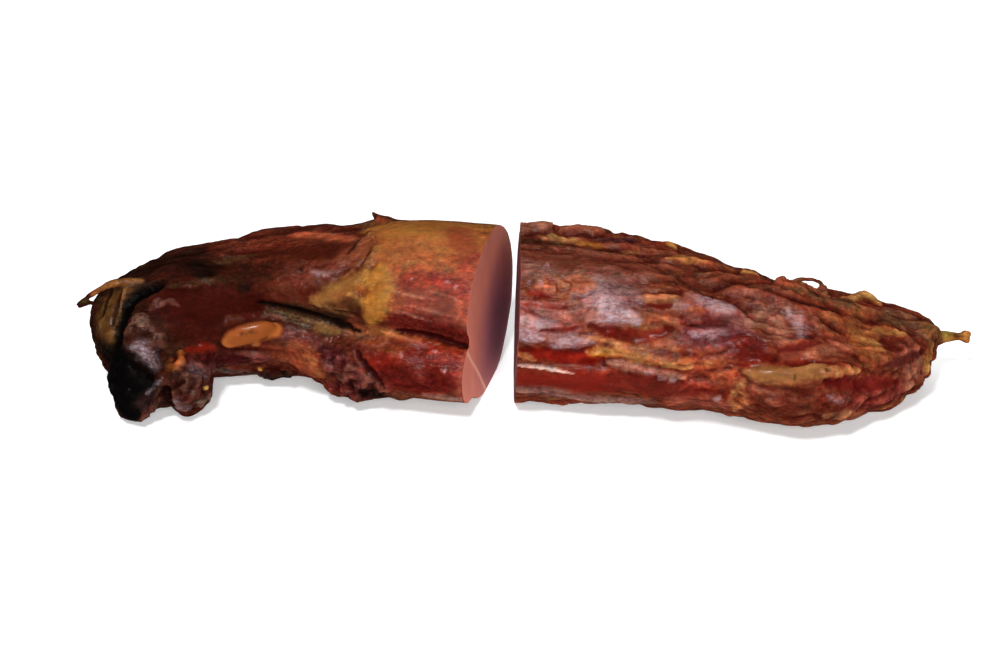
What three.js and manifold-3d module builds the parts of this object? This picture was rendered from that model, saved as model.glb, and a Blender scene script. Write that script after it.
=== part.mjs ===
// A smoked pork tenderloin, sliced once across the middle, its two halves laid end to end.
// Millimetres. +X runs from the thick head to the thin tail, +Y away from the viewer, +Z up.

import * as THREE from "three";
import { ImprovedNoise } from "three/addons/math/ImprovedNoise.js";
import { mergeVertices } from "three/addons/utils/BufferGeometryUtils.js";
import Module from "manifold-3d";

const wasm = await Module();
wasm.setup();

// Driving dimensions
const CUT_WIDTH = 62; // across the meat where the knife went through
const CUT_HEIGHT = 57;
const HEAD_LENGTH = 142; // knife cut to the blunt, curled end
const TAIL_LENGTH = 143; // knife cut to the end of the meat, before the sinew
const PRESSED_FLAT = 0.9; // how far the underside is flattened by its own weight
const KNIFE_YAW_DEG = 15; // the knife's slant across the head half
const KNIFE_LEAN_DEG = 2.2; // the tail half's face leans back by this much
const FACE_TURN_DEG = 1.6; // and turns this much to the front
const SLICE_GAP = 0.7; // between the halves where they come closest

// Fineness of the solids
const RINGS = 42;
const SECTORS = 48;
const RING_CROWDING = 1.4; // rings crowd together towards the end by this power
const LAST_RING = 0.9995; // share of the length at the last ring, just short of a point
const PAST_THE_CUT = 0.12; // share of a half's length that is lofted beyond the knife, then sliced off
const LUMP_DETAIL = 3;
const LUMP_BUMPS = 1.7; // unevenness of a lump, in waves per radius
const STRAND_SIDES = 7;
const STRAND_RINGS = 9;
const CUTTER_SIZE = 600; // the blocks that trim the meat are larger than it

const MEAT_COLOUR = 0x6b2418;

// Stations along each half. at: share of the half's length from the cut. aside: how far the
// centre lies behind the cut's centre. wide, tall: shares of the cut's width and height. lift: clear
// height under the meat.
const HEAD_STATIONS = [
  { at: -0.12, aside: 1, wide: 0.98, tall: 0.99 },
  { at: 0.0, aside: 3, wide: 0.98, tall: 0.99 },
  { at: 0.22, aside: 6, wide: 0.97, tall: 1.01 },
  { at: 0.36, aside: 10, wide: 0.92, tall: 0.95 },
  { at: 0.5, aside: 15, wide: 0.85, tall: 0.88 },
  { at: 0.64, aside: 16, wide: 0.81, tall: 0.82 },
  { at: 0.79, aside: 13, wide: 0.84, tall: 0.77 },
  { at: 0.86, aside: 10, wide: 0.82, tall: 0.71 },
  { at: 0.93, aside: 8.5, wide: 0.7, tall: 0.6, lift: 2 },
  { at: 1.0, aside: 10, wide: 0.52, tall: 0.52, lift: 7 },
];
const TAIL_STATIONS = [
  { at: -0.12, aside: 2, wide: 1.0, tall: 0.99 },
  { at: 0.0, aside: 2, wide: 1.0, tall: 0.99 },
  { at: 0.13, aside: 2.4, wide: 1.02, tall: 0.97 },
  { at: 0.24, aside: 0.6, wide: 1.02, tall: 0.95 },
  { at: 0.34, aside: -1.5, wide: 1.04, tall: 0.92 },
  { at: 0.445, aside: -4, wide: 0.98, tall: 0.86 },
  { at: 0.55, aside: -8, wide: 1.01, tall: 0.79 },
  { at: 0.655, aside: -10.5, wide: 1.03, tall: 0.71 },
  { at: 0.725, aside: -9.4, wide: 0.99, tall: 0.66 },
  { at: 0.795, aside: -6.8, wide: 0.84, tall: 0.6 },
  { at: 0.865, aside: -3.8, wide: 0.75, tall: 0.54, lift: 0.5 },
  { at: 0.9, aside: -1, wide: 0.64, tall: 0.49, lift: 1.5 },
  { at: 0.935, aside: 1, wide: 0.56, tall: 0.43, lift: 3 },
  { at: 1.0, aside: 4.5, wide: 0.22, tall: 0.22, lift: 9.5 },
];
const HEAD_END_ROUND = 13; // length over which the head rounds off
const TAIL_END_ROUND = 5;

// Folds of the surface. path: pairs of millimetres from the cut and degrees round the meat
// (0 faces the viewer, 90 is the top, 180 the back). depth: into the meat; below zero, a ridge.
const HEAD_FOLDS = [
  // the deep groove between the main muscle and the side strip
  {
    path: [[-12, 3], [15, 4], [29, 8], [44, 11], [63, 14], [72, 18], [85, 27], [96, 38]],
    width: 5,
    depth: 7,
  },
  // the crease along the upper muscle, and the step at the edge of the fat cap
  { path: [[117, 68], [101, 68], [85, 77], [71, 86]], width: 4, depth: 1.3 },
  { path: [[47, 108], [46, 79], [49, 59], [54, 48], [63, 37]], width: 3, depth: 1.1 },
  // the back, in gentle lengthwise folds
  { path: [[8, 150], [45, 158], [90, 148], [125, 156]], width: 6, depth: 1.4 },
  { path: [[20, 196], [60, 190], [105, 202]], width: 6, depth: 1.6 },
];
const TAIL_FOLDS = [
  // the long groove under the strip on the top, running down across the tail
  {
    path: [[-12, 93], [3, 92], [16, 86], [44, 89], [63, 74], [78, 70], [98, 66]],
    width: 4.5,
    depth: 2.8,
  },
  // the fold in the middle of the front and the swellings above it
  { path: [[25, 28], [36, 24], [46, 26], [57, 40], [63, 47]], width: 4, depth: 2.6 },
  { path: [[12, 34], [30, 37], [40, 38], [52, 50]], width: 5.5, depth: -1.5 },
  { path: [[12, 50], [19, 52], [26, 57]], width: 4, depth: -1.6 },
  { path: [[59, 36], [69, 45], [84, 52]], width: 5, depth: -1.9 },
  // the valley, thread and ridge low on the front
  { path: [[-12, 4], [16, 3], [29, 4], [54, 1]], width: 4.5, depth: 1.8 },
  { path: [[29, 8], [43, 10], [54, 10], [66, 14]], width: 3, depth: -1 },
  { path: [[2, -6], [25, -13], [40, -17]], width: 4, depth: -1 },
  { path: [[49, -20], [63, -15], [76, -11], [92, -6]], width: 5, depth: -1.6 },
  // the fat pad near the tail, with creases above and below it
  { path: [[72, 12], [91, 26], [105, 33], [118, 40]], width: 5, depth: -1.8 },
  { path: [[76, 24], [92, 38], [101, 50], [112, 63], [129, 71]], width: 4, depth: 2.5 },
  { path: [[96, 10], [106, 16], [120, 10], [130, 0]], width: 4, depth: 1.8 },
  // the band of sinew on the top, behind
  { path: [[80, 98], [96, 103], [113, 106], [130, 98]], width: 4.5, depth: -1.5 },
  // the back
  { path: [[10, 140], [50, 146], [95, 140]], width: 6, depth: 1.5 },
  { path: [[15, 188], [60, 196], [110, 186]], width: 6, depth: 1.7 },
];
const FOLD_FADE = 14; // folds run out over this length at their ends
const UNDERSIDE_DEG = 250; // angles beyond this count back from the front, below zero

// Uneven swelling of the flesh, drawn out along its length
const SWELL = { height: 0.9, length: 26, girth: 13 };
const CRINKLE = { height: 0.5, length: 12, girth: 7 };

const noise = new ImprovedNoise();

// Smooth curve through one column of a station table.
function column(stations, key) {
  const at = stations.map((station) => station.at);
  const value = stations.map((station) => station[key] ?? 0);
  const last = value.length - 1;
  const slope = value.map((_, i) => {
    const before = Math.max(i - 1, 0);
    const after = Math.min(i + 1, last);
    return (value[after] - value[before]) / (at[after] - at[before]);
  });
  return (x) => {
    const next = at.findIndex((position) => position > x);
    const i = next < 0 ? last - 1 : Math.max(next - 1, 0);
    const span = at[i + 1] - at[i];
    const t = (x - at[i]) / span;
    const s = 1 - t;
    const start = value[i] * (1 + 2 * t) + slope[i] * span * t;
    const end = value[i + 1] * (1 + 2 * s) - slope[i + 1] * span * s;
    return start * s * s + end * t * t;
  };
}

// Share of the full girth left at a given distance from a rounded end.
function roundedOff(distance, length) {
  const inside = Math.min(Math.max(distance / length, 0), 1);
  return Math.sqrt(1 - (1 - inside) ** 2);
}

// How deep the folds are at one spot of a half with the given radius there.
function foldDepth(folds, along, angleDeg, radius) {
  const spot = new THREE.Vector2();
  const from = new THREE.Vector2();
  const step = new THREE.Vector2();
  const arc = (deg) => THREE.MathUtils.degToRad(deg) * radius;
  const nearDeg = angleDeg > UNDERSIDE_DEG ? angleDeg - 360 : angleDeg;
  let depth = 0;
  for (const fold of folds) {
    let nearest = Infinity;
    for (let i = 0; i + 1 < fold.path.length; i += 1) {
      const [startAlong, startDeg] = fold.path[i];
      const [endAlong, endDeg] = fold.path[i + 1];
      from.set(startAlong, arc(startDeg));
      step.set(endAlong, arc(endDeg)).sub(from);
      spot.set(along, arc(nearDeg)).sub(from);
      const share = THREE.MathUtils.clamp(spot.dot(step) / step.lengthSq(), 0, 1);
      nearest = Math.min(nearest, spot.addScaledVector(step, -share).length());
    }
    const ends = [fold.path[0], fold.path[fold.path.length - 1]];
    const toEnd = Math.min(...ends.map(([endAlong]) => Math.abs(along - endAlong)));
    const fade = THREE.MathUtils.smoothstep(toEnd, -FOLD_FADE / 3, FOLD_FADE);
    depth += fold.depth * fade * Math.exp(-((nearest / fold.width) ** 2));
  }
  return depth;
}

// Height of the uneven swelling at one spot.
function unevenness(point, seed) {
  const layer = ({ height, length, girth }) =>
    height * noise.noise(point.x / length + seed, point.y / girth, point.z / girth);
  return layer(SWELL) + layer(CRINKLE);
}

// A closed solid through a list of rings with equal numbers of points, capped by fans.
function loft(rings) {
  const count = rings[0].length;
  const points = rings.flat();
  const faces = [];
  for (let r = 0; r + 1 < rings.length; r += 1) {
    for (let i = 0; i < count; i += 1) {
      const near = r * count + i;
      const side = r * count + ((i + 1) % count);
      faces.push(near, side, near + count, side, side + count, near + count);
    }
  }
  for (const end of [0, rings.length - 1]) {
    const middle = points.length;
    const centre = new THREE.Vector3();
    rings[end].forEach((point) => centre.addScaledVector(point, 1 / count));
    points.push(centre);
    for (let i = 0; i < count; i += 1) {
      const near = end * count + i;
      const side = end * count + ((i + 1) % count);
      faces.push(...(end === 0 ? [middle, side, near] : [middle, near, side]));
    }
  }
  return closedSolid(points, faces);
}

// Points and triangles as a solid, turned right side out.
function closedSolid(points, faces) {
  let volume = 0;
  for (let f = 0; f < faces.length; f += 3) {
    const [a, b, c] = [points[faces[f]], points[faces[f + 1]], points[faces[f + 2]]];
    volume += a.dot(b.clone().cross(c));
  }
  if (volume < 0) faces.reverse();
  const vertProperties = new Float32Array(points.flatMap((point) => point.toArray()));
  const triVerts = new Uint32Array(faces);
  return new wasm.Manifold(new wasm.Mesh({ numProp: 3, vertProperties, triVerts }));
}

// One half's muscle. side: -1 for the head, which runs towards -X, and 1 for the tail.
function muscle({ stations, length, endRound, folds, side, seed }) {
  const aside = column(stations, "aside");
  const wide = column(stations, "wide");
  const tall = column(stations, "tall");
  const lift = column(stations, "lift");
  const rings = [];
  for (let r = 0; r <= RINGS; r += 1) {
    const share = 1 - (1 - r / RINGS) ** RING_CROWDING;
    const at = Math.min(share * (1 + PAST_THE_CUT) - PAST_THE_CUT, LAST_RING);
    const full = roundedOff((1 - at) * length, endRound);
    const halfWide = (wide(at) * CUT_WIDTH * full) / 2;
    const halfTall = (tall(at) * CUT_HEIGHT * full) / 2;
    const height = (tall(at) * CUT_HEIGHT) / 2 + lift(at) - PRESSED_FLAT;
    const centre = new THREE.Vector3(side * at * length, aside(at), height);
    rings.push(muscleRing({ centre, halfWide, halfTall, along: at * length, full, folds, seed }));
  }
  return loft(rings);
}

function muscleRing({ centre, halfWide, halfTall, along, full, folds, seed }) {
  const radius = (halfWide + halfTall) / 2;
  const ring = [];
  for (let i = 0; i < SECTORS; i += 1) {
    const angle = (i / SECTORS) * 2 * Math.PI;
    const forward = Math.cos(angle);
    const up = Math.sin(angle);
    const outward = new THREE.Vector3(0, -forward / halfWide, up / halfTall).normalize();
    const point = new THREE.Vector3(0, -forward * halfWide, up * halfTall).add(centre);
    const depth = foldDepth(folds, along, THREE.MathUtils.radToDeg(angle), radius);
    point.addScaledVector(outward, (unevenness(point, seed) - depth) * full);
    ring.push(point);
  }
  return ring;
}

// A round lump with an uneven skin. tiltDeg raises its +X end.
function lump({ centre, radii, tiltDeg = 0, rough = 0.12, detail = LUMP_DETAIL }) {
  const ball = new THREE.IcosahedronGeometry(1, detail);
  ball.deleteAttribute("normal");
  ball.deleteAttribute("uv");
  const welded = mergeVertices(ball, 1e-4);
  const position = welded.getAttribute("position");
  const tilt = new THREE.Matrix4().makeRotationY(-THREE.MathUtils.degToRad(tiltDeg));
  const place = new THREE.Vector3(...centre);
  const points = [];
  for (let i = 0; i < position.count; i += 1) {
    const point = new THREE.Vector3().fromBufferAttribute(position, i);
    const [x, y, z] = point.clone().multiplyScalar(LUMP_BUMPS).add(place).toArray();
    point.multiplyScalar(1 + rough * noise.noise(x, y, z));
    points.push(point.multiply(new THREE.Vector3(...radii)).applyMatrix4(tilt).add(place));
  }
  return closedSolid(points, Array.from(welded.index.array));
}

// A tapering strand through knots of the form [x, y, z, radius].
function strand(knots, { rings = STRAND_RINGS, sides = STRAND_SIDES } = {}) {
  const curve = new THREE.CatmullRomCurve3(knots.map(([x, y, z]) => new THREE.Vector3(x, y, z)));
  const frames = curve.computeFrenetFrames(rings, false);
  const loops = [];
  for (let r = 0; r <= rings; r += 1) {
    const along = curve.getUtoTmapping(r / rings) * (knots.length - 1);
    const k = Math.min(Math.floor(along), knots.length - 2);
    const radius = THREE.MathUtils.lerp(knots[k][3], knots[k + 1][3], along - k);
    const centre = curve.getPointAt(r / rings);
    const loop = [];
    for (let i = 0; i < sides; i += 1) {
      const angle = (i / sides) * 2 * Math.PI;
      const point = centre.clone().addScaledVector(frames.normals[r], Math.cos(angle) * radius);
      loop.push(point.addScaledVector(frames.binormals[r], Math.sin(angle) * radius));
    }
    loops.push(loop);
  }
  return loft(loops);
}

// Everything on the side of a plane that its normal points to.
function beyond(point, normal) {
  const box = new THREE.BoxGeometry(CUTTER_SIZE, CUTTER_SIZE, CUTTER_SIZE);
  box.deleteAttribute("normal");
  box.deleteAttribute("uv");
  const welded = mergeVertices(box, 1e-4);
  const turn = new THREE.Quaternion().setFromUnitVectors(new THREE.Vector3(1, 0, 0), normal);
  const centre = point.clone().addScaledVector(normal, CUTTER_SIZE / 2);
  const position = welded.getAttribute("position");
  const points = Array.from({ length: position.count }, (_, i) =>
    new THREE.Vector3().fromBufferAttribute(position, i).applyQuaternion(turn).add(centre),
  );
  return closedSolid(points, Array.from(welded.index.array));
}

function joined(solids) {
  return solids.reduce((whole, solid) => whole.add(solid));
}

// The one main body of a solid, without loose scraps or sealed hollows.
function mainBody(solid) {
  return solid.decompose().reduce((best, body) => (body.volume() > best.volume() ? body : best));
}

function namedMesh(name, solid) {
  const { vertProperties, triVerts } = solid.getMesh();
  const geometry = new THREE.BufferGeometry();
  geometry.setAttribute("position", new THREE.BufferAttribute(new Float32Array(vertProperties), 3));
  geometry.setIndex(new THREE.BufferAttribute(new Uint32Array(triVerts), 1));
  geometry.computeVertexNormals();
  const material = new THREE.MeshStandardMaterial({ color: MEAT_COLOUR, roughness: 0.45 });
  const mesh = new THREE.Mesh(geometry, material);
  mesh.name = name;
  return mesh;
}

const belowBoard = beyond(new THREE.Vector3(0, 0, 0), new THREE.Vector3(0, 0, -1));

// The knife's plane for a half: it passes through a point on the ground line of the cut.
function knife(x, y, yawDeg, leanDeg, side) {
  const yaw = THREE.MathUtils.degToRad(yawDeg);
  const lean = THREE.MathUtils.degToRad(leanDeg);
  const normal = new THREE.Vector3(side * Math.cos(yaw), -Math.sin(yaw), -side * Math.sin(lean));
  return beyond(new THREE.Vector3(x, y, 0), normal.normalize());
}

// The side strip along the lower front of the head half.
function sideStrip() {
  return strand(
    [
      [14, -23, 18, 10.3],
      [0, -20.5, 18, 10.5],
      [-20, -17.5, 17.8, 11],
      [-43, -12.5, 18.2, 11],
      [-62, -5.5, 17.8, 9.6],
      [-80, 3, 16, 8.5],
      [-98, 4, 14, 8],
    ],
    { rings: 24, sides: 18 },
  );
}

// Burnt crags hanging along the underside of the strip.
function crags() {
  return [
    { centre: [-63, -6, 9], radii: [4.5, 5, 4] },
    { centre: [-57.5, -10.5, 8], radii: [5, 5.5, 4.5] },
    { centre: [-51, -15, 9], radii: [5.5, 6, 5] },
    { centre: [-44, -14.5, 9.5], radii: [5, 5.5, 5] },
    { centre: [-36, -16.5, 10], radii: [5, 5, 5] },
  ].map((crag) => lump({ ...crag, rough: 0.35, detail: 2 }));
}

// The two lobes that hang towards the viewer at the head's end, and the swelling above them.
function headLobes() {
  return [
    lump({ centre: [-122.5, -18.5, 12.8], radii: [9, 11.5, 12.3], rough: 0.28 }),
    lump({ centre: [-107, -15, 12], radii: [10, 11.5, 12], rough: 0.28 }),
    lump({ centre: [-119.5, -6.5, 21], radii: [11, 10.5, 13], rough: 0.22 }),
  ];
}

// The crease that sets the curled flap of the head apart from the swelling beside it.
function headSlit() {
  return strand(
    [
      [-118, 1, 39.5, 0.9],
      [-125, -2.5, 36.5, 1.7],
      [-130, -6, 32.5, 2.1],
      [-131.5, -11.5, 27, 2.3],
      [-132.3, -14.5, 21, 2.3],
      [-133.5, -14.5, 14, 1.7],
    ],
    { rings: 12 },
  );
}

// Sinew, flakes and fat that stand off the head.
function headDetails() {
  return [
    strand([
      [-118, 5, 38, 1.8],
      [-127, 4, 38.4, 1.9],
      [-133, 3, 37.6, 1.5],
      [-139, 3, 34, 1.1],
      [-144, 3, 29.8, 0.9],
    ]),
    strand([[-129, 7, 31, 1.2], [-136, 5, 31.2, 1], [-143.7, 3, 29.7, 0.8]]),
    strand([[-38, 20, 50, 2.6], [-44, 22.5, 52.5, 2.2], [-47.2, 24, 54.6, 0.6]], { rings: 6 }),
    lump({ centre: [-88.5, -8, 26], radii: [11, 3.4, 4.2], tiltDeg: 15 }),
  ];
}

function headHalf() {
  const flesh = muscle({
    stations: HEAD_STATIONS,
    length: HEAD_LENGTH,
    endRound: HEAD_END_ROUND,
    folds: HEAD_FOLDS,
    side: -1,
    seed: 3.7,
  });
  const body = joined([flesh, sideStrip(), ...crags(), ...headLobes()]).subtract(headSlit());
  const whole = joined([body, ...headDetails()]);
  const cut = knife(0, CUT_WIDTH / 2, KNIFE_YAW_DEG, 0, 1);
  return mainBody(whole.subtract(cut).subtract(belowBoard));
}

// The sinew that the tail runs out into, with a knob at its tip.
function tailSinew() {
  return [
    strand([
      [126, -1, 14, 6],
      [134, 2, 14.8, 5],
      [139, 4.5, 15.5, 3.4],
      [145, 6.5, 16, 2.2],
      [151.5, 6.5, 16, 1.7],
    ]),
    lump({ centre: [152.6, 6.4, 16], radii: [2.6, 2.7, 2.7], detail: 2, rough: 0.25 }),
  ];
}

// Loose threads and flakes along the top of the tail.
function tailDetails() {
  return [
    strand([
      [85, 5, 35, 1.4],
      [91, 8, 36, 1],
      [97, 9, 36.8, 0.9],
      [102.5, 9.5, 35.3, 0.9],
      [107, 8, 28, 1],
    ]),
    lump({ centre: [6, 13, 51.8], radii: [11, 6, 3.4], rough: 0.35, detail: 2 }),
    lump({ centre: [22, 14, 50.5], radii: [12, 6, 3.5], rough: 0.35, detail: 2 }),
    lump({ centre: [40, 13, 47.5], radii: [11, 6, 4], tiltDeg: -8, rough: 0.35, detail: 2 }),
    lump({ centre: [116, 7, 27], radii: [9, 6, 3.4], tiltDeg: -12, rough: 0.3, detail: 2 }),
  ];
}

function tailHalf() {
  const flesh = muscle({
    stations: TAIL_STATIONS,
    length: TAIL_LENGTH,
    endRound: TAIL_END_ROUND,
    folds: TAIL_FOLDS,
    side: 1,
    seed: 11.3,
  });
  const whole = joined([flesh, ...tailSinew(), ...tailDetails()]);
  const cut = knife(SLICE_GAP, CUT_WIDTH / 2, FACE_TURN_DEG, KNIFE_LEAN_DEG, -1);
  return mainBody(whole.subtract(cut).subtract(belowBoard));
}

const group = new THREE.Group();
group.name = "smoked_tenderloin";
group.add(namedMesh("head_half", headHalf()));
group.add(namedMesh("tail_half", tailHalf()));

// The origin is under the middle of the whole, on the board.
const box = new THREE.Box3().setFromObject(group);
const middle = box.getCenter(new THREE.Vector3());
group.children.forEach((mesh) => mesh.geometry.translate(-middle.x, -middle.y, -box.min.z));

export default group;
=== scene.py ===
"""A smoked tenderloin, sliced once across the middle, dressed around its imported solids.

Each half starts as its solid, made finer and smoother. Wrinkles, fibres and blotches are made by rule all
round it, and the folds, fat and burnt spots that show are laid on as marks. A mark is a short line in the
photograph's pixels. It is laid on the meat along the line of sight, and it raises or sinks the meat and
colours it. The knife's cut is made last, so it is flat and sharp.
"""

import itertools
import math
from collections import namedtuple

import bmesh
import bpy
import numpy as np
from mathutils import Matrix, Vector
from mathutils.bvhtree import BVHTree


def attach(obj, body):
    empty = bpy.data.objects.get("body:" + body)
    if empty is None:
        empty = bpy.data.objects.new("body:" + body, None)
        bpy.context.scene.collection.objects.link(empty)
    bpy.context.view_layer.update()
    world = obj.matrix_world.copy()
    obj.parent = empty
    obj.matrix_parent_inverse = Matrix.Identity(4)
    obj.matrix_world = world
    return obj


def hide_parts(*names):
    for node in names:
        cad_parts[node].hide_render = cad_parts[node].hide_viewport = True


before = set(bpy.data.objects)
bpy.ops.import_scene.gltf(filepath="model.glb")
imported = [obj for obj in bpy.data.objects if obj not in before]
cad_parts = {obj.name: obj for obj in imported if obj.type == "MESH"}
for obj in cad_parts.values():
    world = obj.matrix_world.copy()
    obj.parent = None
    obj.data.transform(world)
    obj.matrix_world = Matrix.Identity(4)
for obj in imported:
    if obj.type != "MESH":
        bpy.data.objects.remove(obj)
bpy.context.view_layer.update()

# Units: shapes are worked out in millimetres, and Blender's own are metres
MM = 0.001

# The photograph's frame, in pixels, and the camera that took it
PHOTO_WIDTH = 1000
PHOTO_HEIGHT = 667
SENSOR = 36.0
LENS = 75.96
CAMERA_HEIGHT_DEG = 30.0
CAMERA_DISTANCE = 700.0
CAMERA_AIM = Vector((-9.22, 0.0, 21.26))

# The fine mesh, its smoothing, and the parts too thin to be smoothed much
VOXEL = 0.61
SMOOTHING_PASSES = 34
SMOOTHING_PULL = 0.5
THIN = 5.5
THIN_PULL = 0.05
THIN_SPREAD_PASSES = 6
THIN_RELIEF_LOSS = 0.7

# The knife's cut: how the solid's is found, how far the meat runs on past it, and how it is made again
FACES_THE_CUT = 0.9
DIRECTION_DIGITS = 2
ON_THE_CUT = 0.02
CUT_ALLOWANCE = 6.0
CUT_TOLERANCE = 1e-5

# The tail half's cut is turned this much about an upright line at its back, in degrees and millimetres
TAIL_CUT_TURN_DEG = -1.6
TAIL_CUT_PIVOT = 33.0

# The underside keeps flat: how far it faces down, and how low it is in millimetres, from not at all to fully
UNDERSIDE_TURN = (-0.6, -0.95)
UNDERSIDE_HEIGHT = (2.5, 0.5)

# Noise by rule: its seed and lattice, how far it is stretched towards -1 and 1, and what sets moves apart
SEED = 7
LATTICE = 256
NOISE_GAIN = 1.6
CREASE_GAIN = 1.6
CREASE_ROUNDING = 0.08
STRAY_SHIFT = 3.1
AXIS_SHIFT = 7.7

# How a mark is laid: its height beside the stated one, and the pixels between the points of its line
HEIGHT_GAIN = 1.3
MARK_STEP = 1.5

# How far apart in the noise two marks are for each pixel between their starts
PHASE_ACROSS = 0.137
PHASE_DOWN = 0.371

# How a mark's edge wanders: its share of the breadth, then a finer wander, and the room left for both
EDGE_WANDER = 0.4
EDGE_WAVE_LEAST = 1.5
FINE_WAVE = 1.4
FINE_WANDER = 0.7
FINE_SHIFT = 50
WANDER_ROOM = 2

# How a mark's edge breaks up and how it is speckled: amounts, wavelengths and shares of the mark's phase
BROKEN_EDGE = ((1, (6, 1.8, 1.8), 1.9), (0.6, 1.3, 2.3))
EDGE_BREAK = 0.5
EDGE_COVER = (0.1, 0.9)
SPECKS = ((1, 1.5, 1.3), (0.8, (5, 2.2, 2.2), 1.7))
SPECK_COVER = (0.3, -0.5)

# The wavelengths of a rough mark's crags
CRAG_WAVE = 6.0
FINE_CRAG_WAVE = 2.6
FINE_CRAG_SHARE = 0.5
FINE_CRAG_SHIFT = 1

# Colours as they look in the photograph, 0 to 255, and how dark the paint is beside them under the lights
CHAR = (30, 14, 9)
DARK_RED = (60, 16, 10)
MAROON = (82, 32, 19)
RED_BROWN = (110, 46, 28)
RED = (138, 38, 24)
AMBER = (182, 115, 52)
CAPE = (160, 96, 40)
TAN = (150, 84, 50)
# Lilac is the pale dried layer's colour and the colour of painted sheen and highlights
LILAC = (165, 136, 142)
PAINT_SHARE = 0.6

# How far the fibres wander: wavelength, amount and shift
FIBRE_WANDER = ((28.0, 3.0, 5.1), (9.0, 1.2, 6.3), (3.5, 0.4, 7.9))

# Folds, wrinkles and crinkles by rule: their wavelengths along each axis, and a shift
HEAD_CREASES = (((44, 11, 11), 3.0), ((20, 4.4, 4.4), 2.0), ((6, 2.2, 2.2), 1.0))
TAIL_CREASES = (((34, 9, 9), 1.0), ((14, 4.6, 4.6), 2.0), ((5, 2.4, 2.4), 3.0))

# How many millimetres each of them stands proud: off the cape of fat, all over, on the back, and on the tail
HEAD_RELIEF = (0.45, 0.3, 0.1)
CAPE_RELIEF = (0.0, 0.06, 0.06)
BACK_RELIEF = (0.5, 0.2, 0.0)
TAIL_RELIEF = (0.7, 0.55, 0.22)
TAIL_LUMPS = ((0.8, (20, 11, 11), 9.0),)

# Where along X the burnt end and the cape of fat begin and are full, and how far the cape's edge wanders
BURNT_END = (-95, -135)
CAPE_EDGE = (-58, -36)
CAPE_EDGE_WANDER = ((5, 12.0, 2.2), (12, (40, 16, 16), 2.6))

# How far the surface faces back or up where the rules for the back and the top begin and are full
BACK_TURN = (0.1, 0.6)
TOP_TURN = (-0.1, 0.6)

# Blotches by rule show where the noise rises from low to high, and the noise varies the cover of fields
Blotch = namedtuple("Blotch", "colour cover low high wave shift")
Field = namedtuple("Field", "colour cover variation wave shift")
HEAD_BLOTCHES = (
    Blotch(RED_BROWN, 0.6, -0.2, 0.6, (26, 9, 9), 5.0),
    Blotch(DARK_RED, 0.6, 0.1, 0.7, (20, 7, 7), 6.0),
)
TAIL_BLOTCHES = (
    Blotch(TAN, 0.45, 0.0, 0.7, (24, 8, 8), 4.0),
    Blotch(RED, 0.5, 0.05, 0.7, (22, 7, 7), 5.0),
    Blotch(AMBER, 0.4, 0.25, 0.7, (16, 5, 5), 6.0),
)
CAPE_SIDE = Field(TAN, 0.55, 0.3, (14, 4, 4), 7.0)
CAPE_TOP = Field(CAPE, 0.75, 0.4, (14, 5, 5), 7.5)
BURNT_FIELD = Field(CHAR, 0.7, 0.25, 8.0, 8.0)

# Lightness and redness vary all over: amounts, wavelengths and shifts
MOTTLE = ((0.13, (12, 4, 4), 10.0), (0.16, (4, 2, 2), 11.0), (0.2, 1.4, 12.0))
RED_MOTTLE = ((0.2, (7, 3, 3), 13.0), (0.12, 1.9, 14.0))
REDNESS = np.array((0.0, 1.0, 1.0))

# Hollows and crests, in millimetres from the mean around them: what they take from the colour or add to it.
# Hollows are darkened as painted shade and made redder; crests are lightened as painted light
AROUND_PASSES = 60
HOLLOW = (0.0, -0.6)
HOLLOW_SHADE = np.array((0.3, 0.5, 0.5))
CREST = (0.05, 0.6)
CREST_GAIN = 1.15
CREST_TINT = np.array((14, 12, 10))

# How glossy and how crinkled plain meat is, from 0 to 1
PLAIN_GLOSS = 0.92
PLAIN_CRINKLE = 0.6

# Meat darker than this, 0 to 255, is burnt and dull, give or take some specks
BURNT_BELOW = 46
BURNT_SPECKS = ((22, 2.2, 15.0),)

# The places of a half's materials in its mesh
CRUST_SLOT, CUT_SLOT, BURNT_SLOT = range(3)

# The crust's fine patterns: waves to the metre, what they do to the colour, and their depth in metres.
# The colour rises and falls with the bumps: partly painted light and shade on the fine relief, partly the
# crust's own mottling
NOISE_ROUGHNESS = 0.6
NOISE_RANGE = (0.3, 0.7)
CRINKLE_WAVES = (330, 620, 620)
CRINKLE_DETAIL = 4
CRINKLE_SHADE = (0.5, 1.5)
CRINKLE_DEPTH = 0.0007
PEBBLE_WAVES = (900, 1200, 1200)
PEBBLE_SHADE = (0.6, 1.4)
PEBBLE_DEPTH = 0.0006
CRACKLE_WAVES = (240, 560, 560)
CRACKLE_SHADE = (0.7, 1.08)
CRACKLE_SHADE_EDGE = (0.0, 0.12)
CRACKLE_EDGE = (0.0, 0.15)
CRACKLE_DEPTH = 0.00012

# The colour of the pale dried layer with its painted sheen, as a linear share of the light, and how its grain
# and cracks thin it out
FILM_SHEEN = (0.29, 0.215, 0.235, 1)
FILM_SHEEN_GRAIN_WAVES = (480, 1000, 1000)
FILM_SHEEN_GRAIN_RANGE = (0.42, 0.6)
FILM_SHEEN_GRAIN_COVER = (0.3, 1)
FILM_SHEEN_CRACK_WAVES = (500, 800, 800)
FILM_SHEEN_CRACK_EDGE = (0.0, 0.09)
FILM_SHEEN_CRACK_COVER = (0.2, 1)

# How the crust shines, and how rough dull and glossy meat are
CRUST_SHINE = 0.19
BURNT_SHINE = 0.015
GLOSS_ROUGHNESS = (0.85, 0.1)

# How much light goes into the meat, each colour's part of it, and how deep it goes, in metres
CRUST_GLOW = {"Subsurface Weight": 0.1, "Subsurface Radius": (1.0, 0.3, 0.15), "Subsurface Scale": 0.0015}
CUT_GLOW = {"Subsurface Weight": 0.15, "Subsurface Radius": (1.0, 0.35, 0.25), "Subsurface Scale": 0.003}

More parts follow.
